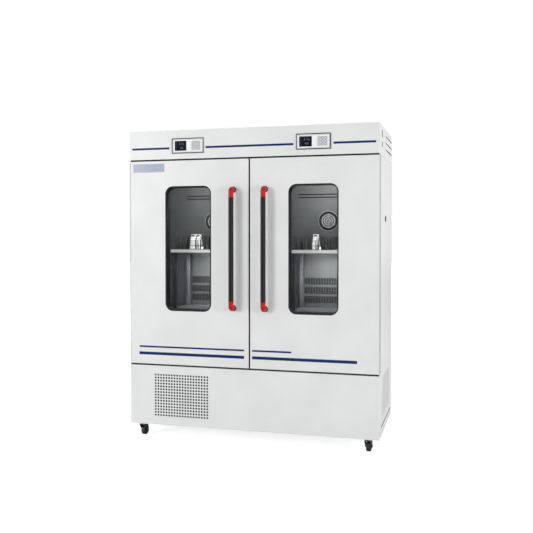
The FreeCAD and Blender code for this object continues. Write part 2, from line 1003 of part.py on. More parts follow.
save("header_shell", [header_shell()])
save("header_plate", [header_plate()])
save("header_electronics", header_electronics())
save("control_bezels", both_chambers(control_bezel()))
save("control_displays", both_chambers(control_display()))
save("control_keypads", both_chambers(control_keypad()))
save("switch_bezels", [switch_bezel(rise, height) for rise, height in switches])
for name, (rise, height) in zip(("upper", "lower"), switches):
    save("switch_rocker_" + name, [switch_rocker(rise, height)])


# Doors, drawn for the right side and mirrored

door_left_edge = middle_gap / 2
door_bottom = z_deck + level_gap
door_top = z_head - level_gap
y_door_back = y_front + door_thickness


def window_block(inset, y0, y1):
    # the window opening, drawn in by inset on every side
    half = window_width / 2 - inset
    return rounded_plate(
        chamber_centre - half, chamber_centre + half, y0, y1,
        window_bottom + inset, z_window_top - inset, window_corner - inset, Y,
    )


def gasket_box(inset, y0, y1):
    return box(
        door_left_edge + gasket_inset + inset, pivot_x - gasket_behind_pivot - inset,
        y0, y1,
        door_bottom + gasket_inset + inset, door_top - gasket_inset - inset,
    )


def door():
    slab = box(door_left_edge, half_width, y_front, y_door_back, door_bottom, door_top)
    front_edges = []
    for e in slab.Edges:
        upright = abs(abs(e.tangentAt(0).z) - 1) < tiny
        if upright and abs(e.CenterOfMass.y - y_front) < tiny:
            front_edges.append(e)
    slab = slab.makeFillet(door_edge_radius, front_edges)
    plug = gasket_box(gasket_width + plug_margin, y_door_back, y_door_back + plug_thickness)
    slab = fused([slab, plug])
    s = door_skin
    cavity = box(
        door_left_edge + door_edge_radius, half_width - door_edge_radius,
        y_front + s, y_door_back - s, door_bottom + s, door_top - s,
    )
    block = pivot_block / 2
    bores = []
    keep = [window_block(-s, y_front, y_door_back)]
    depth = pivot_pin_depth
    for z0, z1 in ((door_bottom, door_bottom + depth), (door_top - depth, door_top)):
        bores.append(rod(pivot_pin_radius + running_fit, Vector(pivot_x, pivot_y, z0), Z, z1 - z0))
        keep.append(box(pivot_x - block, half_width, y_front, y_door_back, z0 - s, z1 + s))
    cavity = cut_all(cavity, keep)
    opening = window_block(0, y_front, y_door_back + plug_thickness)
    return cut_all(slab, [cavity, opening] + bores)


def window_seal_ring():
    y0 = y_front + seal_setback
    y1 = y_door_back + plug_thickness - seal_setback
    return window_block(0, y0, y1).cut(window_block(window_seal, y0, y1))


def door_gasket():
    y1 = y_frame - soft_gap
    return gasket_box(0, y_door_back, y1).cut(gasket_box(gasket_width, y_door_back, y1))


def glass_panes():
    y0 = y_front + pane_setback
    y1 = y_door_back + plug_thickness - pane_setback - pane_thickness
    front = window_block(window_seal, y0, y0 + pane_thickness)
    back = window_block(window_seal, y1, y1 + pane_thickness)
    return [front, back]


def handle_grip():
    return rod(grip_radius, Vector(handle_offset, handle_y, grip_bottom), Z, grip_top - grip_bottom)


def bend_segment(centre, before, after):
    # one straight length of the mitred bend, cut to planes that pass through the bend's centre
    # before and after are +1, -1 or 0: how far it runs to each side of its own level
    half_turn = math.radians(45 / elbow_cuts)
    reach = elbow_bend + 2 * elbow_radius
    rise = reach * math.tan(half_turn)
    wedge = prism([
        Vector(centre.x - reach, centre.y, centre.z),
        Vector(centre.x - reach, centre.y - reach, centre.z - before * rise),
        Vector(centre.x - reach, centre.y - reach, centre.z + after * rise),
    ], Vector(2 * reach, 0, 0))
    tube = rod(elbow_radius, Vector(centre.x, centre.y - elbow_bend, centre.z - rise), Z, 2 * rise)
    return tube.common(wedge)


def handle_elbow(grip_end, outer_end, toward):
    # straight stub on the grip's end, a mitred quarter bend to the door and a round foot
    leg_z = outer_end - toward * elbow_radius
    bend_z = leg_z - toward * elbow_bend
    start = Vector(handle_offset, handle_y, grip_end)
    stub = rod(elbow_radius, start, Vector(0, 0, toward), abs(bend_z - grip_end))
    centre = Vector(handle_offset, handle_y + elbow_bend, bend_z)
    pieces = [stub]
    for i in range(elbow_cuts + 1):
        before = toward if i > 0 else 0
        after = toward if i < elbow_cuts else 0
        segment = bend_segment(centre, before, after)
        pieces.append(spun(segment, centre, X, -toward * 90 * i / elbow_cuts))
    leg_y = handle_y + elbow_bend
    leg = rod(elbow_radius, Vector(handle_offset, leg_y, leg_z), Y, y_front - leg_y)
    foot = rod(foot_radius, Vector(handle_offset, y_front - foot_thickness, leg_z), Y, foot_thickness)
    return fused(pieces + [leg, foot])


def square_block(size, z0, z1):
    half = size / 2
    low, high = sorted((z0, z1))
    return box(pivot_x - half, pivot_x + half, pivot_y - half, pivot_y + half, low, high)


def pivot_pin(z_plate_outer, z_gap, toward):
    # toward is +1 for the pin that stands up into the door's bottom edge
    pin_end = z_gap + toward * (level_gap + pivot_pin_depth - pivot_end_gap)
    up = Vector(0, 0, toward)
    head = square_block(pivot_head_size, z_plate_outer - toward * pivot_head, z_plate_outer)
    start = Vector(pivot_x, pivot_y, z_plate_outer)
    shank = rod(pivot_pin_radius, start, up, abs(pin_end - z_plate_outer))
    collar = square_block(pivot_collar_size, z_gap, z_gap + toward * (level_gap - soft_gap))
    return fused([head, shank, collar])


pins = [pivot_pin(z_deck - deck_sheet, z_deck, 1), pivot_pin(z_head + deck_sheet, z_head, -1)]
elbows = [
    handle_elbow(grip_top, handle_top, 1),
    handle_elbow(grip_bottom, handle_bottom, -1),
]
save("hinge_pins", pins + [mirrored(p) for p in pins])
for name, side in (("left", mirrored), ("right", lambda shape: shape)):
    save("door_" + name, [side(door())])
    save("door_seals_" + name, [side(door_gasket()), side(window_seal_ring())])
    save("door_glass_" + name, [side(pane) for pane in glass_panes()])
    save("handle_grip_" + name, [side(handle_grip())])
    save("handle_ends_" + name, [side(elbow) for elbow in elbows])


# Chamber air system, drawn about x = 0

def duct_cover():
    half = (mouth_outer - mouth_inner) / 2
    plate = box(-half, half, y_duct, y_duct + duct_sheet, z_floor, z_ceiling)
    cuts = [rod(fan_opening, Vector(0, y_duct, fan_height), Y, duct_sheet)]
    for i in range(long_slot_count):
        z = long_slot_first + i * long_slot_pitch
        w = long_slot_width / 2
        h = long_slot_height / 2
        cuts.append(box(-w, w, y_duct, y_duct + duct_sheet, z - h, z + h))
    pitch = louvre_field / louvre_slots
    slot = pitch * louvre_slot_share
    for row in range(louvre_row_count):
        z = louvre_row_first + row * louvre_row_pitch
        for column in range(louvre_slots):
            x = -louvre_field / 2 + column * pitch
            cuts.append(box(x, x + slot, y_duct, y_duct + duct_sheet, z, z + louvre_row_height))
    return cut_all(plate, cuts)


def fan_guard():
    # rings laid on the front of a cross of spokes
    spoke_front = y_duct - guard_wire
    centre = Vector(0, spoke_front - guard_wire, fan_height)
    reach = guard_outer - guard_ring_width / 2
    half = guard_spoke / 2
    spoke = box(-reach, reach, spoke_front, y_duct, fan_height - half, fan_height + half)
    pieces = [fused([spoke, spun(spoke, centre, Y, 90)])]
    for i in range(guard_rings):
        outer = guard_outer * (i + 1) / guard_rings
        ring = rod(outer, centre, Y, guard_wire)
        pieces.append(ring.cut(rod(outer - guard_ring_width, centre, Y, guard_wire)))
    return pieces


fan_front = y_duct + duct_sheet + fan_gap
motor_front = fan_front + fan_length + motor_gap


def fan_motor():
    centre = Vector(0, motor_front, fan_height)
    motor = rod(small_motor_radius, centre, Y, small_motor_length)
    half = motor_stand / 2
    middle = motor_front + small_motor_length / 2
    stand = box(-half, half, middle, y_chamber_rear, fan_height - half, fan_height + half)
    bore = rod(fan_shaft_radius + running_fit, centre, Y, fan_shaft_length)
    return fused([motor, stand]).cut(bore)


def circulation_fan():
    shaft_rear = motor_front + fan_shaft_length - shaft_end_gap
    return axial_fan(fan_radius, fan_blades, fan_length, fan_front, 0, fan_height, shaft_rear)


def evaporator():
    left = -evaporator_width / 2
    front = y_chamber_rear - evaporator_thickness
    pitch = evaporator_width / evaporator_fins
    z = evaporator_bottom
    outline = [Vector(left, y_chamber_rear, z), Vector(left, front, z)]
    for i in range(1, evaporator_fins):
        x = left + i * pitch - pitch / 2 + fin_thickness / 2
        outline += [
            Vector(x, front, z),
            Vector(x, front + fin_depth, z),
            Vector(x + pitch - fin_thickness, front + fin_depth, z),
            Vector(x + pitch - fin_thickness, front, z),
        ]
    outline += [Vector(-left, front, z), Vector(-left, y_chamber_rear, z)]
    return prism(outline, Vector(0, 0, evaporator_height))


save("duct_covers", both_chambers(duct_cover()))
save("fan_guards", [piece for part in fan_guard() for piece in both_chambers(part)])
save("fan_motors", both_chambers(fan_motor()))
save("evaporators", both_chambers(evaporator()))
fans = both_chambers(circulation_fan())
save("fan_left", [fans[0]])
save("fan_right", [fans[1]])


# Orbital drive, drawn about x = 0

idler_places = {
    "front": Vector(-idler_x, drive_y - idler_y, 0),
    "rear": Vector(idler_x, drive_y + idler_y, 0),
}
drive_axis = Vector(0, drive_y, 0)
boss_bottom = z_bearing - boss_depth


def drive_frame():
    # folded housing on the chamber floor, with a bearing boss under its top for each crank
    half = drive_width / 2
    y0 = drive_y - drive_depth / 2
    y1 = drive_y + drive_depth / 2
    t = drive_cheek
    housing = box(-half, half, y0, y1, z_floor, z_bearing)
    inside = box(-half + t, half - t, y0 + t, y1 - t, z_floor, z_bearing - drive_plate)
    pieces = [housing.cut(inside)]
    bores = []
    bosses = [(drive_axis, main_boss, main_shaft)]
    bosses += [(place, idler_boss, idler_shaft) for place in idler_places.values()]
    for place, boss, shaft in bosses:
        start = Vector(place.x, place.y, boss_bottom)
        pieces.append(rod(boss, start, Z, boss_depth))
        bores.append(rod(shaft + running_fit, start, Z, boss_depth))
    return cut_all(fused(pieces), bores)


def drive_motor():
    z0 = boss_bottom - drive_motor_height
    motor = rod(drive_motor_radius, Vector(0, drive_y, z0), Z, drive_motor_height)
    start = Vector(0, drive_y, boss_bottom - drive_motor_bore)
    bore = rod(main_shaft + running_fit, start, Z, drive_motor_bore)
    return motor.cut(bore)


def crank_box(x, y, width):
    # the flat arm from the shaft to the pin
    return box(
        x - width / 2, x + width / 2,
        y - orbit - arm_end, y + width / 2,
        z_crank, z_web_top,
    )


def crank():
    # shaft, arm with its counterweight, and the pin that stands off the shaft by the orbit
    shaft_bottom = boss_bottom - drive_motor_bore + shaft_end_gap
    shaft = rod(main_shaft, Vector(0, drive_y, shaft_bottom), Z, z_crank - shaft_bottom)
    arm = crank_box(0, drive_y, crank_arm)
    sector = Part.makeCylinder(
        counterweight_radius, crank_thickness, Vector(0, drive_y, z_crank), Z, counterweight_angle,
    )
    sector = spun(sector, Vector(0, drive_y, z_crank), Z, 90 - counterweight_angle / 2)
    pin = rod(main_pin, Vector(0, drive_y - orbit, z_web_top), Z, z_pin_top - z_web_top)
    return fused([shaft, arm, sector, pin])


def idler(place):
    shaft_bottom = boss_bottom + shaft_end_gap
    shaft = rod(idler_shaft, Vector(place.x, place.y, shaft_bottom), Z, z_crank - shaft_bottom)
    arm = crank_box(place.x, place.y, idler_arm)
    pin = rod(idler_pin, Vector(place.x, place.y - orbit, z_web_top), Z, z_pin_top - z_web_top)
    return fused([shaft, arm, pin])


def tray(z_top_face, edge):
    # sheet platform with its rim folded down
    half = platform_width / 2
    y0 = platform_y - platform_depth / 2
    y1 = platform_y + platform_depth / 2
    t = platform_sheet
    outer = box(-half, half, y0, y1, z_top_face - edge, z_top_face)
    return outer.cut(box(-half + t, half - t, y0 + t, y1 - t, z_top_face - edge, z_top_face - t))


def lower_tray():
    pieces = [tray(z_lower_deck, lower_edge)]
    bores = []
    hubs = [(drive_axis, main_pin)] + [(place, idler_pin) for place in idler_places.values()]
    for place, pin in hubs:
        start = Vector(place.x, place.y - orbit, z_hub)
        pieces.append(rod(pin + hub_wall, start, Z, hub_depth))
        bores.append(rod(pin + running_fit, start, Z, hub_depth))
    return cut_all(fused(pieces), bores)


def rack_posts():
    posts = []
    w = post_width
    t = post_tube_wall
    x = platform_width / 2 - post_edge - w
    z1 = z_upper_deck - platform_sheet
    reach = platform_depth / 2 - post_edge
    for y in (platform_y - reach, platform_y + reach - w):
        tube = box(x, x + w, y, y + w, z_lower_deck, z1)
        tube = tube.cut(box(x + t, x + w - t, y + t, y + w - t, z_lower_deck, z1))
        posts += both_sides(tube)
    return posts


def clamp_place(column, row):
    x = (column - (clamp_columns - 1) / 2) * clamp_pitch_x
    y = platform_y + (row - (clamp_rows - 1) / 2) * clamp_pitch_y
    return x, y


def flask_radius_at(rise):
    # the cone between the flask's floor and its shoulder
    share = (rise - flask_floor) / (flask_height - flask_neck_height - flask_floor)
    return flask_base_radius + (flask_shoulder_radius - flask_base_radius) * share


def flask_clamp():
    # square base plate with four spring fingers that close on the flask and flare outwards
    half = clamp_base / 2
    t = clamp_sheet
    pieces = [box(-half, half, -half, half, z_upper_deck, z_clamp)]
    rise = z_clamp + clamp_rise
    waist = flask_radius_at(clamp_waist_rise) + clamp_sheet
    z_waist = z_clamp + clamp_waist_rise
    z_flare = z_clamp + clamp_top_rise
    outline = [
        (half, z_clamp), (half + t, z_clamp), (half + t, rise), (waist + t, z_waist),
        (waist + clamp_flare, z_flare), (waist, z_waist), (half, rise),
    ]
    w = clamp_finger_width / 2
    finger = prism([Vector(x, -w, z) for x, z in outline], Vector(0, 2 * w, 0))
    step = 360 / clamp_fingers
    for i in range(clamp_fingers):
        pieces.append(spun(finger, Vector(0, 0, 0), Z, step * (i + 0.5)))
    return pieces


def conical_flask():
    neck = flask_height - flask_neck_height
    outside = [
        (flask_base_radius, 0), (flask_base_radius, flask_floor),
        (flask_shoulder_radius, neck), (flask_shoulder_radius, flask_height),
    ]
    inside = [(radius - flask_wall, z) for radius, z in outside[1:]]
    return many_sided(outside, flask_sides, z_clamp).cut(many_sided(inside, flask_sides, z_clamp))


save("drive_frames", both_chambers(drive_frame()))
save("drive_motors", both_chambers(drive_motor()))
cranks = both_chambers(crank())
racks = [both_chambers(piece) for piece in [lower_tray(), tray(z_upper_deck, upper_edge)] + rack_posts()]
for i, (name, flasks) in enumerate((("left", left_flasks), ("right", right_flasks))):
    centre = (-chamber_centre, chamber_centre)[i]
    save("crank_" + name, [cranks[i]])
    for label, place in idler_places.items():
        save(f"idler_{name}_{label}", [moved(idler(place), x=centre)])
    save("rack_" + name, [piece[i] for piece in racks])
    clamp = flask_clamp()
    clamps = []
    for column in range(clamp_columns):
        for row in range(clamp_rows):
            x, y = clamp_place(column, row)
            clamps += [moved(piece, x=centre + x, y=y) for piece in clamp]
    save("clamps_" + name, clamps)
    pieces = []
    for column, row in flasks:
        x, y = clamp_place(column, row)
        pieces.append(moved(conical_flask(), x=centre + x, y=y))
    save("flasks_" + name, pieces)
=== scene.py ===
import json
import math
import bmesh
import bpy
from mathutils import Matrix, Vector

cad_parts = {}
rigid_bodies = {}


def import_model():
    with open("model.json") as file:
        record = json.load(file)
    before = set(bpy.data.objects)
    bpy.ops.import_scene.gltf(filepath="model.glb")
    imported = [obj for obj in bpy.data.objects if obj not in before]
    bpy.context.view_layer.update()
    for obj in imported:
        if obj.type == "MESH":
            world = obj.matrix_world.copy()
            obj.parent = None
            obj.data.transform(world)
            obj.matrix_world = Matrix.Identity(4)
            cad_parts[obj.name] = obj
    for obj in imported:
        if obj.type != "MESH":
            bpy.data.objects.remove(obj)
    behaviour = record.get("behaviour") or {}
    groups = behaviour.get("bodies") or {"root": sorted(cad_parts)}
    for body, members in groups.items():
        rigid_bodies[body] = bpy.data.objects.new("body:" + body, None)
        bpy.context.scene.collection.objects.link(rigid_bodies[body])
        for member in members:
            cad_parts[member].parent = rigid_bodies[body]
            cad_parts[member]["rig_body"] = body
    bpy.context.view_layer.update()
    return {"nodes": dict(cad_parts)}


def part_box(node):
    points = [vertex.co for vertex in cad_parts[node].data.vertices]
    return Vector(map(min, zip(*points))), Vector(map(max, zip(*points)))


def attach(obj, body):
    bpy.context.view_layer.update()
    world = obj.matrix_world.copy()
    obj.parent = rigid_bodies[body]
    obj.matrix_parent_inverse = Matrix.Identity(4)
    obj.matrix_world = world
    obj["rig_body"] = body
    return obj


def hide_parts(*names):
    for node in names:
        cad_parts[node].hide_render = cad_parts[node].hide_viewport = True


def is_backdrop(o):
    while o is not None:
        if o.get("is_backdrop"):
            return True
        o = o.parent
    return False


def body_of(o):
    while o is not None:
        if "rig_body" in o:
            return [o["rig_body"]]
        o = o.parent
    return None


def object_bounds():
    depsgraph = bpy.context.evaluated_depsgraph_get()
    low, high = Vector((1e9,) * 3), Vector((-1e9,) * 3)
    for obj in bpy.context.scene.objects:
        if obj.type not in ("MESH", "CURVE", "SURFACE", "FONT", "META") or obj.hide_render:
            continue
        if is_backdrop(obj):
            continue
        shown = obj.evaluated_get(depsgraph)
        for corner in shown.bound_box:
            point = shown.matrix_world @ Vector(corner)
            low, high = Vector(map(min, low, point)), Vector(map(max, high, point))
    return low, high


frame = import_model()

# Double-door shaking incubator, dressed over its CAD frame.
# Shapes are written in millimetres and turned to metres when a piece is made.

across = Vector((1, 0, 0))
back = Vector((0, 1, 0))
up = Vector((0, 0, 1))


def linear(hexColour):
    # sRGB hex to the linear colour that the shaders take
    channels = [int(hexColour[i:i + 2], 16) / 255 for i in (1, 3, 5)]
    flat = [c / 12.92 if c <= 0.04045 else ((c + 0.055) / 1.055) ** 2.4 for c in channels]
    return (flat[0], flat[1], flat[2], 1.0)


def addNode(tree, kind, settings=None, inputs=None):
    # a node with its settings, and a value or a link for each input named
    node = tree.nodes.new(kind)
    for name, value in (settings or {}).items():
        setattr(node, name, value)
    for name, value in (inputs or {}).items():
        if isinstance(value, bpy.types.NodeSocket):
            tree.links.new(value, node.inputs[name])
        else:
            node.inputs[name].default_value = value
    return node


def emptyTree(owner):
    # a material's or world's node tree, switched on and cleared
    owner.use_nodes = True
    owner.node_tree.nodes.clear()
    return owner.node_tree


def addObject(name, data):
    made = bpy.data.objects.new(name, data)
    bpy.context.scene.collection.objects.link(made)
    return made


def nodeBox(name):
    # the corners of a CAD node's box in millimetres
    low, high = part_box(name)
    return low * 1000, high * 1000


# Materials

def makeMaterial(look):
    # two noises: a fine grain for bump and gloss, and a soft cloud that shifts the colour
    # grain, cloud and bump are in millimetres
    material = bpy.data.materials.new(look["name"])
    tree = emptyTree(material)
    place = addNode(tree, "ShaderNodeTexCoord")
    drawn = addNode(tree, "ShaderNodeMapping", inputs={
        "Vector": place.outputs["Object"], "Scale": look.get("stretch", (1, 1, 1))})
    grain = addNode(tree, "ShaderNodeTexNoise", inputs={
        "Vector": drawn.outputs["Vector"], "Scale": 1000 / look["grain"], "Detail": 3.0})
    cloud = addNode(tree, "ShaderNodeTexNoise", inputs={
        "Vector": drawn.outputs["Vector"], "Scale": 1000 / look["cloud"], "Detail": 2.0})
    blend = addNode(tree, "ShaderNodeMapRange", inputs={
        "Value": cloud.outputs["Fac"], "From Min": 0.35, "From Max": 0.65})
    colour = addNode(tree, "ShaderNodeMix", {"data_type": "RGBA"}, {
        0: blend.outputs["Result"], 6: linear(look["colour"]), 7: linear(look["shade"])})
    gloss = addNode(tree, "ShaderNodeMapRange", inputs={
        "Value": grain.outputs["Fac"], "From Min": 0.3, "From Max": 0.7,
        "To Min": look["rough"][0], "To Max": look["rough"][1]})
    bump = addNode(tree, "ShaderNodeBump", inputs={
        "Height": grain.outputs["Fac"], "Strength": look.get("strength", 0.5),
        "Distance": look["bump"] / 1000})
    shader = addNode(tree, "ShaderNodeBsdfPrincipled", inputs={
        "Base Color": colour.outputs[2], "Roughness": gloss.outputs["Result"],
        "Normal": bump.outputs["Normal"], "Metallic": look.get("metallic", 0.0),
        "IOR": look.get("ior", 1.5), "Coat Weight": look.get("coat", 0.0),
        "Alpha": look.get("alpha", 1.0)})
    if "glow" in look:
        shader.inputs["Emission Color"].default_value = linear(look["colour"])
        shader.inputs["Emission Strength"].default_value = look["glow"]
    addNode(tree, "ShaderNodeOutputMaterial", inputs={"Surface": shader.outputs["BSDF"]})
    return material


# finishes of the CAD's own slots, then those of the pieces added here
finishes = {
    # powder coat baked on sheet steel: a faint orange peel about 2 mm across, satin
    "cabinet_enamel": dict(name="powderCoatWhite", colour="#e9eaea", shade="#e4e5e5", grain=2.2, cloud=260,
                           rough=(0.34, 0.42), bump=0.03, strength=0.25),
    # sprayed polyurethane foam: pale yellow and open-celled
    "insulation_foam": dict(name="polyurethaneFoam", colour="#d8cda2", shade="#c6b88a", grain=3.0, cloud=60,
                            rough=(0.8, 0.95), bump=0.8),
    # stainless sheet with a vertical brushed finish, in painted shade: dark as it looks behind the panes;
    # the streaks are drawn 1 mm wide so that they show
    "liner_steel": dict(name="brushedStainless", colour="#4b4e4e", shade="#444747", grain=1.0, cloud=140,
                        rough=(0.46, 0.52), bump=0.004, strength=0.15, metallic=0.2, stretch=(1, 1, 0.03)),
    # moulded polypropylene: matt black with a fine spark-eroded skin
    "port_plastic": dict(name="polypropyleneBlack", colour="#1b1c1e", shade="#222326", grain=0.8, cloud=30,
                         rough=(0.45, 0.55), bump=0.02),
    # hot-dip galvanised steel: dull grey with large soft spangles
    "frame_steel": dict(name="galvanisedSteel", colour="#9fa4a7", shade="#868b8f", grain=6.0, cloud=14,
                        rough=(0.42, 0.6), bump=0.02, metallic=0.7),
    # rolled aluminium fin stock: bright, with the rolling lines running upwards
    "coil_aluminium": dict(name="finAluminium", colour="#bfc3c6", shade="#aab0b4", grain=0.8, cloud=40,
                           rough=(0.3, 0.45), bump=0.01, metallic=0.9, stretch=(1, 1, 0.08)),
    # black stoving enamel over a drawn steel pot: glossy, with a slight peel
    "compressor_enamel": dict(name="stovingEnamelBlack", colour="#17181a", shade="#1f2123", grain=2.0,
                              cloud=50, rough=(0.25, 0.38), bump=0.03),
    # glass-filled nylon fan blades: dark grey, faintly mottled
    "fan_plastic": dict(name="glassFilledNylon", colour="#1d1e20", shade="#27282a", grain=0.6, cloud=18,
                        rough=(0.45, 0.6), bump=0.02),
    # pressed aluminium blades, anodised black
    "fan_aluminium": dict(name="anodisedBlack", colour="#26282a", shade="#303234", grain=0.7, cloud=20,
                          rough=(0.35, 0.45), bump=0.01, metallic=0.5),
    # polycarbonate inlet body: black, smooth
    "inlet_plastic": dict(name="polycarbonateBlack", colour="#121315", shade="#191a1c", grain=0.8, cloud=15,
                          rough=(0.35, 0.45), bump=0.01),
    # pressed steel under black zinc plating: dark, with dull highlights
    "caster_steel": dict(name="blackZincSteel", colour="#404347", shade="#575b60", grain=0.7, cloud=12,
                         rough=(0.3, 0.45), bump=0.01, metallic=0.75),
    # moulded nylon wheel: near black, scuffed on the tread
    "caster_tyre": dict(name="nylonTyreBlack", colour="#17181a", shade="#26282a", grain=0.6, cloud=7,
                        rough=(0.4, 0.65), bump=0.03),
    # epoxy-glass circuit board under green solder mask
    "board_laminate": dict(name="solderMaskGreen", colour="#1d5a38", shade="#174a2e", grain=1.2, cloud=12,
                           rough=(0.3, 0.45), bump=0.02),
    # injection-moulded ABS: cool white, satin
    "bezel_plastic": dict(name="absCoolWhite", colour="#f6f6f6", shade="#f1f2f2", grain=0.8, cloud=30,
                          rough=(0.32, 0.4), bump=0.01),
    # LCD window of smoked acrylic with an anti-glare coating: almost black, polished
    "display_glass": dict(name="smokedAcrylic", colour="#0d1016", shade="#10141b", grain=2.0, cloud=20,
                          rough=(0.07, 0.12), bump=0.002, ior=1.2),
    # printed polyester membrane: light grey with a fine matt texture
    "keypad_film": dict(name="polyesterFilmGrey", colour="#dcdfe1", shade="#d4d7da", grain=0.4, cloud=20,
                        rough=(0.45, 0.55), bump=0.01),
    # moulded nylon switch: black, slightly glossy
    "switch_plastic": dict(name="nylonBlack", colour="#151618", shade="#1c1d20", grain=0.6, cloud=12,
                           rough=(0.3, 0.42), bump=0.01),
    # extruded silicone rubber: near black, dusty matt
    "seal_rubber": dict(name="siliconeRubberDark", colour="#1c1d1f", shade="#242527", grain=0.8, cloud=25,
                        rough=(0.55, 0.7), bump=0.02, ior=1.3),
    # toughened float glass with an anti-reflection coating: clear, with a faint grey body;
    # the coating is drawn as a low IOR, which keeps the studio out of the panes
    "window_glass": dict(name="floatGlass", colour="#1c2226", shade="#20262a", grain=40, cloud=200,
                         rough=(0.02, 0.03), bump=0.001, ior=1.12, alpha=0.06),
    # closed-cell foam sleeve: black, with fine pores about 0.9 mm across
    "grip_foam": dict(name="nitrileFoamBlack", colour="#0e0e0f", shade="#151516", grain=0.9, cloud=20,
                      rough=(0.4, 0.55), bump=0.06, ior=1.33),
    # glossy moulded ABS: bright red
    "handle_red": dict(name="absRed", colour="#c60a0f", shade="#ba080d", grain=0.9, cloud=20,
                       rough=(0.3, 0.38), bump=0.01, ior=1.33),
    # turned stainless steel: fine rings round the pin
    "hinge_steel": dict(name="turnedStainless", colour="#b4b7b9", shade="#a2a6a8", grain=0.5, cloud=10,
                        rough=(0.25, 0.35), bump=0.01, metallic=0.95, stretch=(1, 1, 6)),
    # zinc-plated wire dulled by its passivation: even grey, with little shine
    "guard_wire": dict(name="zincPlatedWire", colour="#a9adb0", shade="#9a9ea1", grain=0.6, cloud=10,
                       rough=(0.38, 0.5), bump=0.01, metallic=0.2),
    # sprayed machine enamel on motor housings: dark grey
    "motor_enamel": dict(name="machineEnamelDark", colour="#3a3e43", shade="#43474c", grain=1.5, cloud=40,
                         rough=(0.35, 0.5), bump=0.03),
    # hammered machine enamel on the drive housing: mid grey
    "drive_enamel": dict(name="hammerEnamelGrey", colour="#868b90", shade="#777c81", grain=3.0, cloud=30,
                         rough=(0.32, 0.45), bump=0.08),
    # turned and ground alloy steel, lightly oiled
    "crank_steel": dict(name="groundSteel", colour="#a6aaad", shade="#8f9396", grain=0.5, cloud=18,
                        rough=(0.22, 0.34), bump=0.01, metallic=0.95),
    # anodised aluminium sheet, matt etched, with a dull sheen: its dark grey is painted shade, as in the
    # chambers
    "rack_aluminium": dict(name="anodisedAluminium", colour="#55585a", shade="#4e5153", grain=0.5, cloud=50,
                           rough=(0.5, 0.6), bump=0.01, metallic=0.3),
    # blued spring steel strip: dark with a soft shine
    "clamp_steel": dict(name="springSteel", colour="#2a2c2e", shade="#36383b", grain=0.6, cloud=10,
                        rough=(0.25, 0.38), bump=0.01, metallic=0.8),
    # opal glass flask: white and smooth
    "flask_white": dict(name="opalGlassWhite", colour="#f1f1ef", shade="#e9eae8", grain=3.0, cloud=30,
                        rough=(0.12, 0.2), bump=0.004, ior=1.52),
}
extraFinishes = {
    # vinyl strip: deep blue, satin
    "stripe": dict(name="vinylBlue", colour="#102d5e", shade="#133166", grain=1.2, cloud=60,
                   rough=(0.35, 0.42), bump=0.005, ior=1.25),
    # anodised name plate without print: mid blue-grey, satin
    "plate": dict(name="anodisedPlateBlueGrey", colour="#9298a6", shade="#8b92a1", grain=0.6, cloud=30,
                  rough=(0.34, 0.42), bump=0.005, metallic=0.2),
    # dark lip round a moulded bezel, also the dark patch on each flask's neck: painted shade in both
    "outline": dict(name="rubberLipDark", colour="#141618", shade="#1b1d20", grain=0.6, cloud=12,
                    rough=(0.5, 0.6), bump=0.004, ior=1.35),
    # grey strip on the hinge side of the doors: painted shade for the shaded side of each door; pale grey,
    # matt
    "profile": dict(name="anodisedProfileGrey", colour="#bfc1c3", shade="#b8babc", grain=0.8, cloud=60,
                    rough=(0.45, 0.55), bump=0.01),
    # edging round the upper platform, white as a painted highlight for the light on its edge
    "edge": dict(name="polypropyleneEdge", colour="#f0f0ee", shade="#e8e9e7", grain=0.8, cloud=20,
                 rough=(0.4, 0.5), bump=0.01),
    # lit LCD segments: mid blue with a faint glow
    "segment": dict(name="litSegmentBlue", colour="#6c80b4", shade="#6176ab", grain=1.0, cloud=8,
                    rough=(0.4, 0.5), bump=0.001, glow=0.1),
    # printed rings and frames on the keypad and panel: mid grey ink
    "key": dict(name="keyGrey", colour="#5f646a", shade="#565b61", grain=0.4, cloud=6,
                rough=(0.42, 0.52), bump=0.01),
    # zinc-plated screw heads
    "screw": dict(name="zincScrew", colour="#b3b6b8", shade="#9a9ea1", grain=0.4, cloud=4,
                  rough=(0.28, 0.42), bump=0.01, metallic=0.85),
    # zinc casting behind each red elbow, drawn dark as painted shade where the leg lies in shade
    "foot": dict(name="darkChromeZinc", colour="#4a4c50", shade="#3f4145", grain=0.8, cloud=10,
                 rough=(0.25, 0.35), bump=0.01, metallic=0.6),
    # black extruded rubber: matt, slightly dusty; it also serves as painted shade in the gaps round the doors
    # and panels
    "rubber": dict(name="rubberBlack", colour="#131415", shade="#1a1b1d", grain=0.8, cloud=20,
                   rough=(0.6, 0.75), bump=0.02, ior=1.3),
    # black sheet of painted shade for the dark behind holes and slots: matt, with a fine grain drawn on it
    "mesh": dict(name="flyMeshBlack", colour="#0b0b0c", shade="#121314", grain=0.9, cloud=12,
                 rough=(0.7, 0.85), bump=0.1, ior=1.3),
    # grey printed band round a flask
    "band": dict(name="printedBandGrey", colour="#8c9196", shade="#80858a", grain=0.8, cloud=10,
                 rough=(0.5, 0.6), bump=0.01),
}
materials = {key: makeMaterial(look) for key, look in {**finishes, **extraFinishes}.items()}
print("materials made:", len(materials))


# Mesh making

sharpAngle = math.radians(35)  # an edge that turns by more than this is a hard one


def circleLoop(centre, axis, radius, count):
    # points round a circle that stands square to the axis
    side = axis.orthogonal().normalized()
    other = axis.cross(side).normalized()
    loop = []
    for i in range(count):
        angle = 2 * math.pi * i / count
        loop.append(centre + side * math.cos(angle) * radius + other * math.sin(angle) * radius)
    return loop


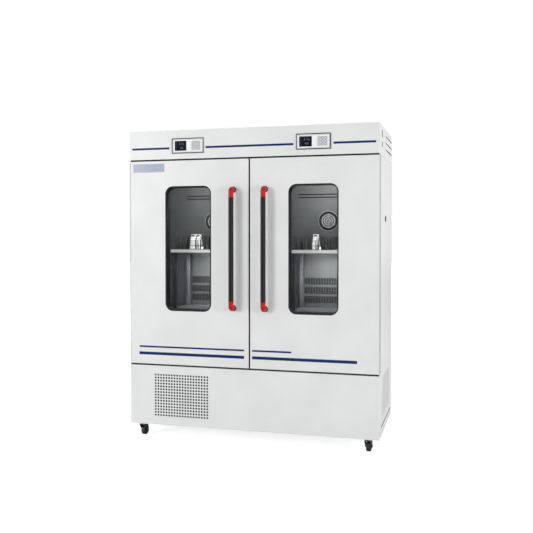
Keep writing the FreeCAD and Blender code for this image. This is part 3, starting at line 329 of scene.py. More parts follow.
def roundedLoop(centreX, centreZ, width, height, radius, y, steps=8):
    # a rectangle with round corners in a plane of constant y
    loop = []
    for corner, (acrossSign, upSign) in enumerate(((1, 1), (-1, 1), (-1, -1), (1, -1))):
        for i in range(steps + 1):
            angle = math.pi / 2 * (corner + i / steps)
            x = centreX + acrossSign * (width / 2 - radius) + radius * math.cos(angle)
            z = centreZ + upSign * (height / 2 - radius) + radius * math.sin(angle)
            loop.append(Vector((x, y, z)))
    return loop


def skin(bm, loops, ring=False):
    # joins a row of loops with faces, then closes it on itself or caps both ends
    rows = [[bm.verts.new(p) for p in loop] for loop in loops]
    pairs = list(zip(rows, rows[1:]))
    if ring:
        pairs.append((rows[-1], rows[0]))
    made = []
    for near, far in pairs:
        for i in range(len(near)):
            j = (i + 1) % len(near)
            made.append(bm.faces.new((near[i], near[j], far[j], far[i])))
    if not ring:
        made.append(bm.faces.new(list(reversed(rows[0]))))
        made.append(bm.faces.new(rows[-1]))
    bmesh.ops.recalc_face_normals(bm, faces=made)


def block(bm, low, high):
    # a box between two corners
    corners = [(low[0], low[1]), (high[0], low[1]), (high[0], high[1]), (low[0], high[1])]
    skin(bm, [[Vector((x, y, z)) for x, y in corners] for z in (low[2], high[2])])


def lathe(bm, profile, centre, axis, count):
    # profile is a row of (radius, distance along the axis)
    skin(bm, [circleLoop(centre + axis * h, axis, r, count) for r, h in profile])


def softenEdges(bm, width, wanted=None):
    # rounds the hard edges, or those of them that are wanted
    edges = []
    for edge in bm.edges:
        if edge.is_manifold and edge.calc_face_angle() > sharpAngle:
            if wanted is None or wanted(edge):
                edges.append(edge)
    bmesh.ops.bevel(bm, geom=edges, offset=width, segments=2, profile=0.6,
                    affect="EDGES", clamp_overlap=True)


def mirrorAcross(bm):
    # adds the same faces on the other side of x = 0
    copy = bmesh.ops.duplicate(bm, geom=bm.verts[:] + bm.edges[:] + bm.faces[:])["geom"]
    verts = [g for g in copy if isinstance(g, bmesh.types.BMVert)]
    faces = [g for g in copy if isinstance(g, bmesh.types.BMFace)]
    for v in verts:
        v.co.x = -v.co.x
    bmesh.ops.reverse_faces(bm, faces=faces)


def copyOfNode(name):
    # a CAD node's mesh in millimetres, its loose triangles merged and its flats joined
    bm = bmesh.new()
    bm.from_mesh(frame["nodes"][name].data)
    bm.transform(frame["nodes"][name].matrix_world)
    bm.transform(Matrix.Scale(1000, 4))
    bmesh.ops.remove_doubles(bm, verts=bm.verts, dist=0.005)
    bmesh.ops.dissolve_limit(bm, angle_limit=math.radians(0.5), verts=bm.verts, edges=bm.edges)
    return bm


def keepFlats(piece):
    # weights the normals by face size, so that flats stay flat beside their rounded edges
    modifier = piece.modifiers.new("weighted", "WEIGHTED_NORMAL")
    modifier.keep_sharp = True
    evaluated = piece.evaluated_get(bpy.context.evaluated_depsgraph_get())
    mesh = bpy.data.meshes.new_from_object(evaluated)
    piece.modifiers.remove(modifier)
    piece.data = mesh


def addMesh(name, mesh, finish, body, nodes=()):
    # a finished piece: its mesh in metres, its material, its body and what it stands for
    mesh.transform(Matrix.Scale(0.001, 4))
    mesh.materials.clear()
    mesh.materials.append(materials[finish])
    mesh.polygons.foreach_set("use_smooth", [True] * len(mesh.polygons))
    mesh.polygons.foreach_set("material_index", [0] * len(mesh.polygons))
    mesh.set_sharp_from_angle(angle=sharpAngle)
    piece = addObject(name, mesh)
    keepFlats(piece)
    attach(piece, body)
    if nodes:
        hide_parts(*nodes)


def addPiece(name, bm, finish, body, nodes=()):
    mesh = bpy.data.meshes.new(name)
    bm.to_mesh(mesh)
    bm.free()
    addMesh(name, mesh, finish, body, nodes)


def bodyOf(node):
    return body_of(frame["nodes"][node])[0]


def softCopy(node, finish, width, wanted=None):
    # the node's own shape with its hard edges rounded, kept inside the node's box
    bm = copyOfNode(node)
    softenEdges(bm, width, wanted)
    low, high = nodeBox(node)
    for v in bm.verts:
        v.co = Vector([min(max(v.co[i], low[i]), high[i]) for i in range(3)])
    addPiece(node + "_finished", bm, finish, bodyOf(node), [node])


def ordered(side, inner, outer):
    # two distances from the middle plane as a low and a high x on that side
    return sorted((side * inner, side * outer))


# Geometry Nodes

def perforatedSheet(name, size, thickness, fields):
    # a flat sheet in the XY plane, centred on 0, with fields of round or slotted holes
    tree = bpy.data.node_groups.new(name, "GeometryNodeTree")
    values = {}

    def socket(label, kind, value):
        made = tree.interface.new_socket(name=label, in_out="INPUT", socket_type="NodeSocket" + kind)
        values[made.identifier] = value

    tree.interface.new_socket(name="Geometry", in_out="OUTPUT", socket_type="NodeSocketGeometry")
    socket("Sheet width", "Float", size[0])
    socket("Sheet height", "Float", size[1])
    socket("Sheet thickness", "Float", thickness)
    for label, field in fields.items():
        socket(label + " width", "Float", field["hole"][0])
        socket(label + " height", "Float", field["hole"][1])
        socket(label + " columns", "Int", field["count"][0])
        socket(label + " rows", "Int", field["count"][1])
        socket(label + " column pitch", "Float", field["pitch"][0])
        socket(label + " row pitch", "Float", field["pitch"][1])
        socket(label + " centre", "Vector", (*field["centre"], 0))
    given = addNode(tree, "NodeGroupInput").outputs
    rim = addNode(tree, "GeometryNodeCurvePrimitiveQuadrilateral", inputs={
        "Width": given["Sheet width"], "Height": given["Sheet height"]})
    joined = addNode(tree, "GeometryNodeJoinGeometry")
    tree.links.new(rim.outputs[0], joined.inputs[0])
    for label, field in fields.items():
        spans = []
        for way in ("column", "row"):
            steps = addNode(tree, "ShaderNodeMath", {"operation": "SUBTRACT"}, {
                0: given[label + " " + way + "s"], 1: 1.0})
            spans.append(addNode(tree, "ShaderNodeMath", {"operation": "MULTIPLY"}, {
                0: steps.outputs[0], 1: given[label + " " + way + " pitch"]}).outputs[0])
        grid = addNode(tree, "GeometryNodeMeshGrid", inputs={
            "Size X": spans[0], "Size Y": spans[1],
            "Vertices X": given[label + " columns"], "Vertices Y": given[label + " rows"]})
        placed = addNode(tree, "GeometryNodeTransform", inputs={
            "Geometry": grid.outputs["Mesh"], "Translation": given[label + " centre"]})
        if field["round"]:
            radius = addNode(tree, "ShaderNodeMath", {"operation": "MULTIPLY"}, {
                0: given[label + " width"], 1: 0.5})
            hole = addNode(tree, "GeometryNodeCurvePrimitiveCircle", inputs={
                "Resolution": field["sides"], "Radius": radius.outputs[0]})
        else:
            hole = addNode(tree, "GeometryNodeCurvePrimitiveQuadrilateral", inputs={
                "Width": given[label + " width"], "Height": given[label + " height"]})
        holes = addNode(tree, "GeometryNodeInstanceOnPoints", inputs={
            "Points": placed.outputs[0], "Instance": hole.outputs[0]})
        tree.links.new(holes.outputs[0], joined.inputs[0])
    outlines = addNode(tree, "GeometryNodeRealizeInstances", inputs={"Geometry": joined.outputs[0]})
    filled = addNode(tree, "GeometryNodeFillCurve", inputs={"Curve": outlines.outputs[0]})
    raised = addNode(tree, "GeometryNodeExtrudeMesh", inputs={
        "Mesh": filled.outputs[0], "Offset": (0, 0, 1), "Offset Scale": given["Sheet thickness"],
        "Individual": False})
    under = addNode(tree, "GeometryNodeFlipFaces", inputs={"Mesh": filled.outputs[0]})
    both = addNode(tree, "GeometryNodeJoinGeometry")
    tree.links.new(raised.outputs[0], both.inputs[0])
    tree.links.new(under.outputs[0], both.inputs[0])
    whole = addNode(tree, "GeometryNodeMergeByDistance", inputs={
        "Geometry": both.outputs[0], "Distance": 0.01})
    real = addNode(tree, "GeometryNodeRealizeInstances", inputs={"Geometry": whole.outputs[0]})
    painted = addNode(tree, "GeometryNodeSetMaterial", inputs={"Geometry": real.outputs[0]})
    addNode(tree, "NodeGroupOutput", inputs={0: painted.outputs[0]})
    return runTree(tree, values)


def runTree(tree, values, start=None):
    # the tree's result as a plain mesh
    holder = addObject("treeHolder", start or bpy.data.meshes.new("treeStart"))
    modifier = holder.modifiers.new("nodes", "NODES")
    modifier.node_group = tree
    for identifier, value in values.items():
        modifier[identifier] = value
    evaluated = holder.evaluated_get(bpy.context.evaluated_depsgraph_get())
    mesh = bpy.data.meshes.new_from_object(evaluated)
    holder.modifiers.remove(modifier)
    bpy.data.objects.remove(holder)
    return mesh


def standUp(mesh, centre, thickAlong):
    # stands up a sheet drawn in XY, with its thickness along -y or +x
    if thickAlong == "y":
        turn = Matrix.Rotation(math.radians(90), 4, "X")
    else:
        turn = Matrix(((0, 0, 1, 0), (1, 0, 0, 0), (0, 1, 0, 0), (0, 0, 0, 1)))
    mesh.transform(Matrix.Translation(centre) @ turn)
    bm = bmesh.new()
    bm.from_mesh(mesh)
    return bm


def scatter(name, shape, places, outward, finish, body, nodes=()):
    # one small shape, drawn along +Z, standing on each place and facing outwards
    shapeMesh = bpy.data.meshes.new(name + "Shape")
    shape.to_mesh(shapeMesh)
    shape.free()
    shapeObject = addObject(name + "Shape", shapeMesh)
    tree = bpy.data.node_groups.new(name, "GeometryNodeTree")
    tree.interface.new_socket(name="Geometry", in_out="OUTPUT", socket_type="NodeSocketGeometry")
    tree.interface.new_socket(name="Places", in_out="INPUT", socket_type="NodeSocketGeometry")
    shapeIn = tree.interface.new_socket(name="Shape", in_out="INPUT", socket_type="NodeSocketObject")
    turnIn = tree.interface.new_socket(name="Turn", in_out="INPUT", socket_type="NodeSocketVector")
    given = addNode(tree, "NodeGroupInput").outputs
    info = addNode(tree, "GeometryNodeObjectInfo", inputs={"Object": given["Shape"]})
    turn = addNode(tree, "FunctionNodeEulerToRotation", inputs={"Euler": given["Turn"]})
    points = addNode(tree, "GeometryNodeInstanceOnPoints", inputs={
        "Points": given["Places"], "Instance": info.outputs["Geometry"], "Rotation": turn.outputs[0]})
    real = addNode(tree, "GeometryNodeRealizeInstances", inputs={"Geometry": points.outputs[0]})
    painted = addNode(tree, "GeometryNodeSetMaterial", inputs={"Geometry": real.outputs[0]})
    addNode(tree, "NodeGroupOutput", inputs={0: painted.outputs[0]})
    start = bpy.data.meshes.new(name + "Places")
    start.from_pydata([Vector(p) for p in places], [], [])
    angles = up.rotation_difference(outward).to_euler()
    mesh = runTree(tree, {shapeIn.identifier: shapeObject, turnIn.identifier: tuple(angles)}, start)
    bpy.data.objects.remove(shapeObject)
    addMesh(name, mesh, finish, body, nodes)


# Small shapes that are scattered

screw = {"radius": 4.2, "height": 1.8, "socket": 0.45, "sides": 12}  # the socket as a share of the head
discSides = 20


def screwHead(size):
    # pan head with a round socket
    r = screw["radius"] * size
    h = screw["height"] * size
    inner = r * screw["socket"]
    shape = bmesh.new()
    lathe(shape, [(r, 0), (r, h * 0.5), (r * 0.8, h), (inner, h), (inner * 0.9, h * 0.4)],
          Vector(), up, screw["sides"])
    return shape


def disc(radius, height, edge):
    # a flat button with its front edge chamfered
    shape = bmesh.new()
    lathe(shape, [(radius, 0), (radius, height - edge), (radius - edge, height)], Vector(), up, discSides)
    return shape


def flatRing(outer, inner, height, count):
    shape = bmesh.new()
    rows = [(outer, 0), (outer, height), (inner, height), (inner, 0)]
    skin(shape, [circleLoop(Vector((0, 0, h)), up, r, count) for r, h in rows], ring=True)
    return shape


# Levels and faces read from the frame

doorLow, doorHigh = nodeBox("door_right")
skinLow, skinHigh = nodeBox("outer_panels")
headLow, headHigh = nodeBox("header_shell")
baseLow, baseHigh = nodeBox("base_front_panel")
serviceLow, serviceHigh = nodeBox("service_panels")
ductLow, ductHigh = nodeBox("duct_covers")
guardLow = nodeBox("fan_guards")[0]
bezelLow, bezelHigh = nodeBox("control_bezels")
frontY = headLow.y
halfWidth = headHigh.x
chamberX = 402.0  # from the middle of the cabinet to the middle of a chamber
sheetSteel = 2.0  # of the cabinet's skins
rounding = {"skin": 0.8, "header": 2.5, "door": 1.2, "casterPlate": 1.2, "rack": 0.5, "small": 0.4}
sides = ((-1, "left"), (1, "right"))


# Cabinet

def outsideEdge(low, high, slack=0.05):
    # picks edges that lie on two outer faces of the box
    def test(edge):
        count = 0
        for i in range(3):
            for limit in (low[i], high[i]):
                if all(abs(v.co[i] - limit) < slack for v in edge.verts):
                    count += 1
        return count >= 2
    return test


softCopy("outer_panels", "cabinet_enamel", rounding["skin"], outsideEdge(skinLow, skinHigh))
softCopy("header_shell", "cabinet_enamel", rounding["header"], outsideEdge(headLow, headHigh))
cabinetParts = {"insulation": "insulation_foam", "chamber_liners": "liner_steel", "base_frame": "frame_steel",
                "header_plate": "frame_steel", "power_inlet": "inlet_plastic"}
for node, finish in cabinetParts.items():
    softCopy(node, finish, rounding["small"])

# blue vinyl stripes: the film, and each line's level, height and runs across
stripes = {
    "film": 0.25,
    "header": {"level": 1848, "height": 13, "runs": ((-783, -527), (-284, 279), (524, 777))},
    "doorThin": {"level": 585, "height": 11, "left": (-736, -33), "right": (19, 267)},
    "doorThick": {"level": 542, "height": 18.5, "left": (-738, -33), "right": (19, 668)},
}


def stripe(bm, run, level, height):
    # a strip of film on the front face
    block(bm, (run[0], frontY - stripes["film"], level - height / 2), (run[1], frontY, level + height / 2))


bm = bmesh.new()
for run in stripes["header"]["runs"]:
    stripe(bm, run, stripes["header"]["level"], stripes["header"]["height"])
addPiece("header_stripes", bm, "stripe", "root")
for side, word in sides:
    bm = bmesh.new()
    for line in ("doorThin", "doorThick"):
        stripe(bm, stripes[line][word], stripes[line]["level"], stripes[line]["height"])
    addPiece("door_stripes_" + word, bm, "stripe", "door_" + word)

# black strips that fill the gaps over and under the doors, in front of the pivots, each with a lip on
# the cabinet's front: painted shade, dark as those gaps look
gapShade = {"back": 1.5, "depth": 10.5, "play": 1.2, "short": 4.0, "lip": 5.0, "lipProud": 0.6}
bm = bmesh.new()
reach = halfWidth - gapShade["short"]
near = frontY + gapShade["back"]
for low, high in ((doorHigh.z + gapShade["play"], headLow.z), (baseHigh.z, doorLow.z - gapShade["play"])):
    block(bm, (-reach, near, low), (reach, near + gapShade["depth"], high))
for low, high in ((headLow.z, headLow.z + gapShade["lip"]), (baseHigh.z - gapShade["lip"], baseHigh.z)):
    block(bm, (-reach, frontY - gapShade["lipProud"], low), (reach, frontY, high))
addPiece("gap_strips", bm, "rubber", "root")
print("cabinet made")


# Base: front grille and service panels

# round holes: the first one's place across, the top row's level, and the pattern
frontGrille = {"first": -625, "top": 406, "pitch": 18.4, "hole": 12.8, "columns": 20, "rows": 15}
serviceGrille = {"first": frontY + 153, "top": 426, "pitch": 18.4, "hole": 10.4, "columns": 22, "rows": 13}
grilleHoleSides = 14


def grilleReach(grille):
    # from the first hole's centre to the last one's, across and down
    return (grille["columns"] - 1) * grille["pitch"], (grille["rows"] - 1) * grille["pitch"]


def grilleField(grille, middleAcross, middleZ):
    # the field of holes, placed from the middle of its sheet
    wide, tall = grilleReach(grille)
    return {"round": True, "sides": grilleHoleSides, "hole": (grille["hole"], grille["hole"]),
            "count": (grille["columns"], grille["rows"]), "pitch": (grille["pitch"], grille["pitch"]),
            "centre": (grille["first"] + wide / 2 - middleAcross, grille["top"] - tall / 2 - middleZ)}


size = baseHigh - baseLow
middle = (baseHigh + baseLow) / 2
mesh = perforatedSheet("baseFrontSheet", (size.x, size.z), sheetSteel,
                       {"vent": grilleField(frontGrille, middle.x, middle.z)})
bm = standUp(mesh, Vector((middle.x, baseHigh.y, middle.z)), "y")
addPiece("base_front_perforated", bm, "cabinet_enamel", "root", ["base_front_panel"])

# the service panel: a thin perforated sheet in a stepped frame
servicePanel = {"lip": 8.0, "frame": 1.5, "sheet": 0.6, "play": 0.01, "screwSize": 0.6, "screwInset": 4.8}
lip = servicePanel["lip"]
size = serviceHigh - serviceLow
middle = (serviceHigh + serviceLow) / 2
mesh = perforatedSheet("serviceSheet", (size.y - 2 * lip, size.z - 2 * lip), servicePanel["sheet"],
                       {"vent": grilleField(serviceGrille, middle.y, middle.z)})
bm = standUp(mesh, Vector((halfWidth - servicePanel["sheet"], middle.y, middle.z)), "x")


def serviceLoop(inset, x):
    low = serviceLow
    high = serviceHigh
    return [Vector((x, low.y + inset, low.z + inset)), Vector((x, high.y - inset, low.z + inset)),
            Vector((x, high.y - inset, high.z - inset)), Vector((x, low.y + inset, high.z - inset))]


behindSkin = halfWidth - sheetSteel
behindSheet = halfWidth - servicePanel["sheet"] - servicePanel["play"]
section = [(0, behindSkin - servicePanel["play"]), (lip, behindSkin - servicePanel["play"]),
           (lip, behindSheet), (2 * lip, behindSheet),
           (2 * lip, behindSkin - servicePanel["frame"]), (0, behindSkin - servicePanel["frame"])]
skin(bm, [serviceLoop(inset, x) for inset, x in section], ring=True)
mirrorAcross(bm)
addPiece("service_panels_perforated", bm, "cabinet_enamel", "root", ["service_panels"])

# black sheet behind every perforated field: painted shade for the dark inside the base
shadeSheet = {"thick": 0.8, "frontGap": 0.3, "sideGap": 0.1, "margin": 8.0}
margin = shadeSheet["margin"]
bm = bmesh.new()
wide, tall = grilleReach(frontGrille)
near = baseLow.y + sheetSteel + shadeSheet["frontGap"]
block(bm, (frontGrille["first"] - margin, near, frontGrille["top"] - tall - margin),
      (frontGrille["first"] + wide + margin, near + shadeSheet["thick"], frontGrille["top"] + margin))
wide, tall = grilleReach(serviceGrille)
near = halfWidth - servicePanel["sheet"] - shadeSheet["sideGap"]
for side, word in sides:
    span = ordered(side, near, near - shadeSheet["thick"])
    block(bm, (span[0], serviceGrille["first"] - margin, serviceGrille["top"] - tall - margin),
          (span[1], serviceGrille["first"] + wide + margin, serviceGrille["top"] + margin))
addPiece("fly_meshes", bm, "mesh", "root")

# dark strip along the foot of each service panel: painted shade for the shadow gap under the panel
footShade = {"proud": 0.6, "below": 3.0, "above": 4.0, "short": 30.0}
bm = bmesh.new()
for side, word in sides:
    span = ordered(side, halfWidth, halfWidth + footShade["proud"])
    block(bm, (span[0], serviceLow.y, serviceLow.z - footShade["below"]),
          (span[1], serviceHigh.y - footShade["short"], serviceLow.z + footShade["above"]))
addPiece("service_drip_edges", bm, "rubber", "root")

inset = servicePanel["screwInset"]
for side, word in sides:
    x = side * (halfWidth - screw["height"] * servicePanel["screwSize"])
    places = [(x, y, z) for y in (serviceLow.y + inset, middle.y, serviceHigh.y - inset)
              for z in (serviceLow.z + inset, serviceHigh.z - inset)]
    scatter("service_screws_" + word, screwHead(servicePanel["screwSize"]), places, across * side,
            "screw", "root")
coolingParts = {"condenser": "coil_aluminium", "condenser_fan": "fan_plastic",
                "compressor": "compressor_enamel"}
for node, finish in coolingParts.items():
    softCopy(node, finish, rounding["small"])
print("base made")


# Casters

# half and hubHalf are half widths, and turn is how far the casters have swivelled, in degrees
wheel = {"radius": 31.5, "half": 12.5, "hub": 11.0, "hubHalf": 17.0, "bore": 4.3, "axle": 31.5,
         "turn": -4.0, "sides": 44}
axleNut = {"at": 20.6, "radius": 7.0, "height": 2.8, "top": 6.0, "edge": 0.6}


def casterWheel(centre, axis):
    # solid nylon wheel: rounded tread, dished web and a raised hub on both sides
    r = wheel["radius"]
    half = wheel["half"]
    side = [(wheel["bore"], wheel["hubHalf"]), (wheel["hub"] - 0.8, wheel["hubHalf"]),
            (wheel["hub"], wheel["hubHalf"] - 0.8), (wheel["hub"], half - 2.5), (r - 8, half - 3.0),
            (r - 6.5, half - 0.4), (r - 2.2, half), (r - 0.6, half - 1.6), (r, half - 4.5)]
    profile = [(radius, -h) for radius, h in side] + [(radius, h) for radius, h in reversed(side)]
    loops = [circleLoop(centre + axis * h, axis, radius, wheel["sides"]) for radius, h in profile]
    bm = bmesh.new()
    skin(bm, loops, ring=True)
    return bm


turn = math.radians(wheel["turn"])
axis = Vector((math.cos(turn), math.sin(turn), 0))
nutProfile = [(axleNut["radius"], 0), (axleNut["radius"], axleNut["height"] - axleNut["edge"]),
              (axleNut["top"], axleNut["height"])]
for place in ("front_left", "front_right", "rear_left", "rear_right"):
    fork = "caster_fork_" + place
    softCopy(fork, "caster_steel", rounding["skin"])
    node = "caster_wheel_" + place
    low, high = nodeBox(node)
    centre = Vector(((low.x + high.x) / 2, (low.y + high.y) / 2, wheel["axle"]))
    addPiece(node + "_finished", casterWheel(centre, axis), "caster_tyre", bodyOf(node), [node])
    bm = bmesh.new()
    for way in (-1, 1):
        lathe(bm, nutProfile, centre + axis * way * axleNut["at"], axis * way, 6)
    addPiece("caster_nuts_" + place, bm, "screw", bodyOf(fork))
softCopy("caster_plates", "caster_steel", rounding["casterPlate"])
print("casters made")


# Doors

window = {"width": 308, "height": 791, "bottom": 817, "corner": 50, "bead": 8, "depth": 57.0}
gasket = {"rebate": 8.0, "section": (  # each point as its inset and its share of the depth
    (0, 0), (0, 0.55), (3, 0.8), (6, 0.55), (12, 0.55), (14, 1.0), (18, 1.0), (20, 0.6), (20, 0))}
hingeSideShade = {"proud": 0.3, "inset": 2.0, "short": 1.5}
centreGapShade = {"edge": 4.0, "thick": 0.8, "front": 6.0, "back": 10.0, "short": 2.0}
badge = {"x": (-776, -562), "z": (1699, 1752), "thick": 0.8, "side": 0.48, "bevel": 0.4, "corner": 3}


def windowLoop(side, inset, y):
    return roundedLoop(side * chamberX, window["bottom"] + window["height"] / 2, window["width"] - 2 * inset,
                       window["height"] - 2 * inset, window["corner"] - inset, y)


def windowBead(side):
    # moulded bead that holds the panes, domed a little at the front
    rear = frontY + window["depth"]
    section = [(0, rear), (0, frontY + 0.6), (1.5, frontY - 0.3), (5.0, frontY - 0.4), (7.0, frontY + 0.5),
               (window["bead"], frontY + 2.0), (window["bead"], rear)]
    bm = bmesh.new()
    skin(bm, [windowLoop(side, inset, y) for inset, y in section], ring=True)
    return bm


def doorGasket(sealNode):
    # magnetic gasket round the door's back: two soft lips on a square tube
    low, high = nodeBox(sealNode)
    face = doorHigh.y - gasket["rebate"]
    rows = []
    for inset, share in gasket["section"]:
        y = face + share * (high.y - face)
        rows.append([Vector((x, y, z)) for x, z in (
            (low.x + inset, low.z + inset), (high.x - inset, low.z + inset),
            (high.x - inset, high.z - inset), (low.x + inset, high.z - inset))])
    bm = bmesh.new()
    skin(bm, rows, ring=True)
    return bm


for side, word in sides:
    body = "door_" + word
    seals = "door_seals_" + word
    softCopy(body, "cabinet_enamel", rounding["door"])
    addPiece("window_bead_" + word, windowBead(side), "seal_rubber", body, [seals])
    addPiece("door_gasket_" + word, doorGasket(seals), "seal_rubber", body, [seals])
    # a dark strip in the gap between the doors: painted shade for the shade in that gap
    bm = bmesh.new()
    span = ordered(side, centreGapShade["edge"], centreGapShade["edge"] - centreGapShade["thick"])
    block(bm, (span[0], frontY + centreGapShade["front"], doorLow.z + centreGapShade["short"]),
          (span[1], doorHigh.y - centreGapShade["back"], doorHigh.z - centreGapShade["short"]))
    addPiece("door_edge_strip_" + word, bm, "rubber", body)
    # a grey strip on each door's outer side: painted shade
    bm = bmesh.new()
    span = ordered(side, halfWidth, halfWidth + hingeSideShade["proud"])
    block(bm, (span[0], frontY + hingeSideShade["inset"], doorLow.z + hingeSideShade["short"]),
          (span[1], doorHigh.y - hingeSideShade["inset"], doorHigh.z - hingeSideShade["short"]))
    addPiece("door_hinge_profile_" + word, bm, "profile", body)
    panes = frame["nodes"]["door_glass_" + word].data.materials
    panes.clear()
    panes.append(materials["window_glass"])
badgeX = sum(badge["x"]) / 2
badgeZ = sum(badge["z"]) / 2
badgeWide = badge["x"][1] - badge["x"][0]
badgeTall = badge["z"][1] - badge["z"][0]
loops = []
for inset, proud in ((0, 0), (0, badge["side"]), (badge["bevel"], badge["thick"])):
    loops.append(roundedLoop(badgeX, badgeZ, badgeWide - 2 * inset, badgeTall - 2 * inset,
                             badge["corner"], frontY - proud, 4))
bm = bmesh.new()
skin(bm, loops)
addPiece("badge_plate", bm, "plate", "door_left")
print("doors made")


# Handles

# grip and legs are levels, and collar holds three distances from the grip's end
handle = {"x": 102, "axisY": -366.5, "grip": (890, 1529), "gripRadius": 15.7, "gripSides": 40,
          "legs": (845, 1580), "elbowRadius": 15.8, "elbowSides": 28, "bend": 19, "bendSteps": 8,
          "redEnd": -345.0, "collarRadius": 16, "collarEnd": 15, "collar": (0.8, 6, 7),
          "footRadius": 19, "foot": 4, "legRadius": 15.2, "legPlay": 0.1, "footSides": 36}


def elbowLoop(side, y, z, slope, radius):
    # a ring of the red elbow, which bends in a plane of constant x
    centre = Vector((side * handle["x"], y, z))
    outward = Vector((0, math.cos(slope), math.sin(slope)))
    loop = []
    for i in range(handle["elbowSides"]):
        turn = 2 * math.pi * i / handle["elbowSides"]
        loop.append(centre + across * math.cos(turn) * radius + outward * math.sin(turn) * radius)
    return loop


def handleElbow(bm, side, gripEnd, legZ, toward):
    # collar, quarter bend and straight leg, as rings from the grip to the foot
    radius = handle["elbowRadius"]
    bend = handle["bend"]
    start, end, sleeve = [gripEnd + toward * step for step in handle["collar"]]
    rows = [(handle["axisY"], z, 0.0, r) for z, r in (
        (gripEnd, handle["collarEnd"]), (start, handle["collarRadius"]), (end, handle["collarRadius"]),
        (sleeve, radius))]
    for i in range(handle["bendSteps"] + 1):
        angle = math.pi / 2 * i / handle["bendSteps"]
        y = handle["axisY"] + bend - bend * math.cos(angle)
        z = legZ - toward * bend + toward * bend * math.sin(angle)
        rows.append((y, z, -toward * angle, radius))
    rows.append((handle["redEnd"], legZ, -toward * math.pi / 2, radius))
    skin(bm, [elbowLoop(side, *row) for row in rows])


def handleFoot(bm, side, legZ):
    # flange on the door, with the leg that carries the elbow, both dark as painted shade
    r = handle["footRadius"]
    foot = handle["foot"]
    leg = handle["legRadius"]
    lathe(bm, [(r, 0), (r, foot * 0.6), (r - 1.2, foot), (leg, foot + 1.0),
               (leg, frontY - handle["redEnd"] - handle["legPlay"])],
          Vector((side * handle["x"], frontY, legZ)), -back, handle["footSides"])


for side, word in sides:
    body = "door_" + word
    ends = "handle_ends_" + word
    elbows = bmesh.new()
    feet = bmesh.new()
    for end, toward in ((1, 1), (0, -1)):
        handleElbow(elbows, side, handle["grip"][end], handle["legs"][end], toward)
        handleFoot(feet, side, handle["legs"][end])
    addPiece("handle_elbows_" + word, elbows, "handle_red", body, [ends])
    addPiece("handle_feet_" + word, feet, "foot", body, [ends])
    bm = bmesh.new()
    r = handle["gripRadius"]
    low, high = handle["grip"]
    lathe(bm, [(r - 1.2, low), (r - 0.3, low + 0.9), (r, low + 3), (r, high - 3), (r - 0.3, high - 0.9),
               (r - 1.2, high)], Vector((side * handle["x"], handle["axisY"], 0)), up, handle["gripSides"])
    addPiece("handle_sleeve_" + word, bm, "grip_foam", body, ["handle_grip_" + word])
print("handles made")


# Control modules

# the dark lip round each module, the thin line inside it, and the corners of both;
# the lip's dark colour is painted shade at the bezel's raised edge
lipFrame = {"wide": 5.6, "proud": 0.35, "back": 0.2}
lineFrame = {"inset": 9.0, "wide": 1.4, "proud": 0.12, "back": 0.3}
frameCorner = {"outer": 3.0, "least": 0.6, "steps": 3}
display = {"x": -47.5, "proud": 0.15,
           # each reading's figures, left end, level and height
           "readings": (("37", -12, 13, 17), ("0", 17, 10.5, 12), ("180", -8, -13, 12)),
           "marks": (-22, -8, 6, 20), "markAt": (-30, -26), "markHalf": 1,
           # a figure's width, bar and step as shares of its height
           "wide": 0.5, "bar": 0.13, "step": 0.78}
keypad = {"x": 55.5, "film": (65, 59), "corner": 3, "sunk": 0.7, "pitch": 19.0, "key": 6.0, "keyTall": 0.6,
          "keyEdge": 0.3, "ring": 8.2, "ringWide": 2.4, "ringTall": 0.25, "ringSides": 24}
segmentBars = {  # the seven bars as (x, z, upright), in half widths and half heights of the figure
    "a": (0, 1, False), "b": (1, 0.25, True), "c": (1, -0.25, True), "d": (0, -1, False),
    "e": (-1, -0.25, True), "f": (-1, 0.25, True), "g": (0, 0, False)}
litBars = {"0": "abcdef", "1": "bc", "3": "abcdg", "7": "abc", "8": "abcdefg"}


def framePiece(bm, centreX, width, height, band, front, rear):
    # a flat rectangular frame that faces the front
    rows = []
    for inset, y in ((0, rear), (0, front), (band, front), (band, rear)):
        radius = max(frameCorner["outer"] - inset, frameCorner["least"])
        rows.append(roundedLoop(centreX, bezelZ, width - 2 * inset, height - 2 * inset, radius, y,
                                frameCorner["steps"]))
    skin(bm, rows, ring=True)


def reading(bm, figures, left, middleZ, tall):
    # seven-segment figures drawn as thin bars on the display
    wide = tall * display["wide"]
    bar = tall * display["bar"]
    for i, figure in enumerate(figures):
        centre = left + i * tall * display["step"] + wide / 2
        for name in litBars[figure]:
            x, z, upright = segmentBars[name]
            barX = centre + x * wide / 2
            barZ = middleZ + z * tall / 2
            halfX, halfZ = (bar / 2, tall / 4 - bar / 2) if upright else (wide / 2 - bar, bar / 2)
            block(bm, (barX - halfX, displayFace - display["proud"], barZ - halfZ),
                  (barX + halfX, displayFace, barZ + halfZ))


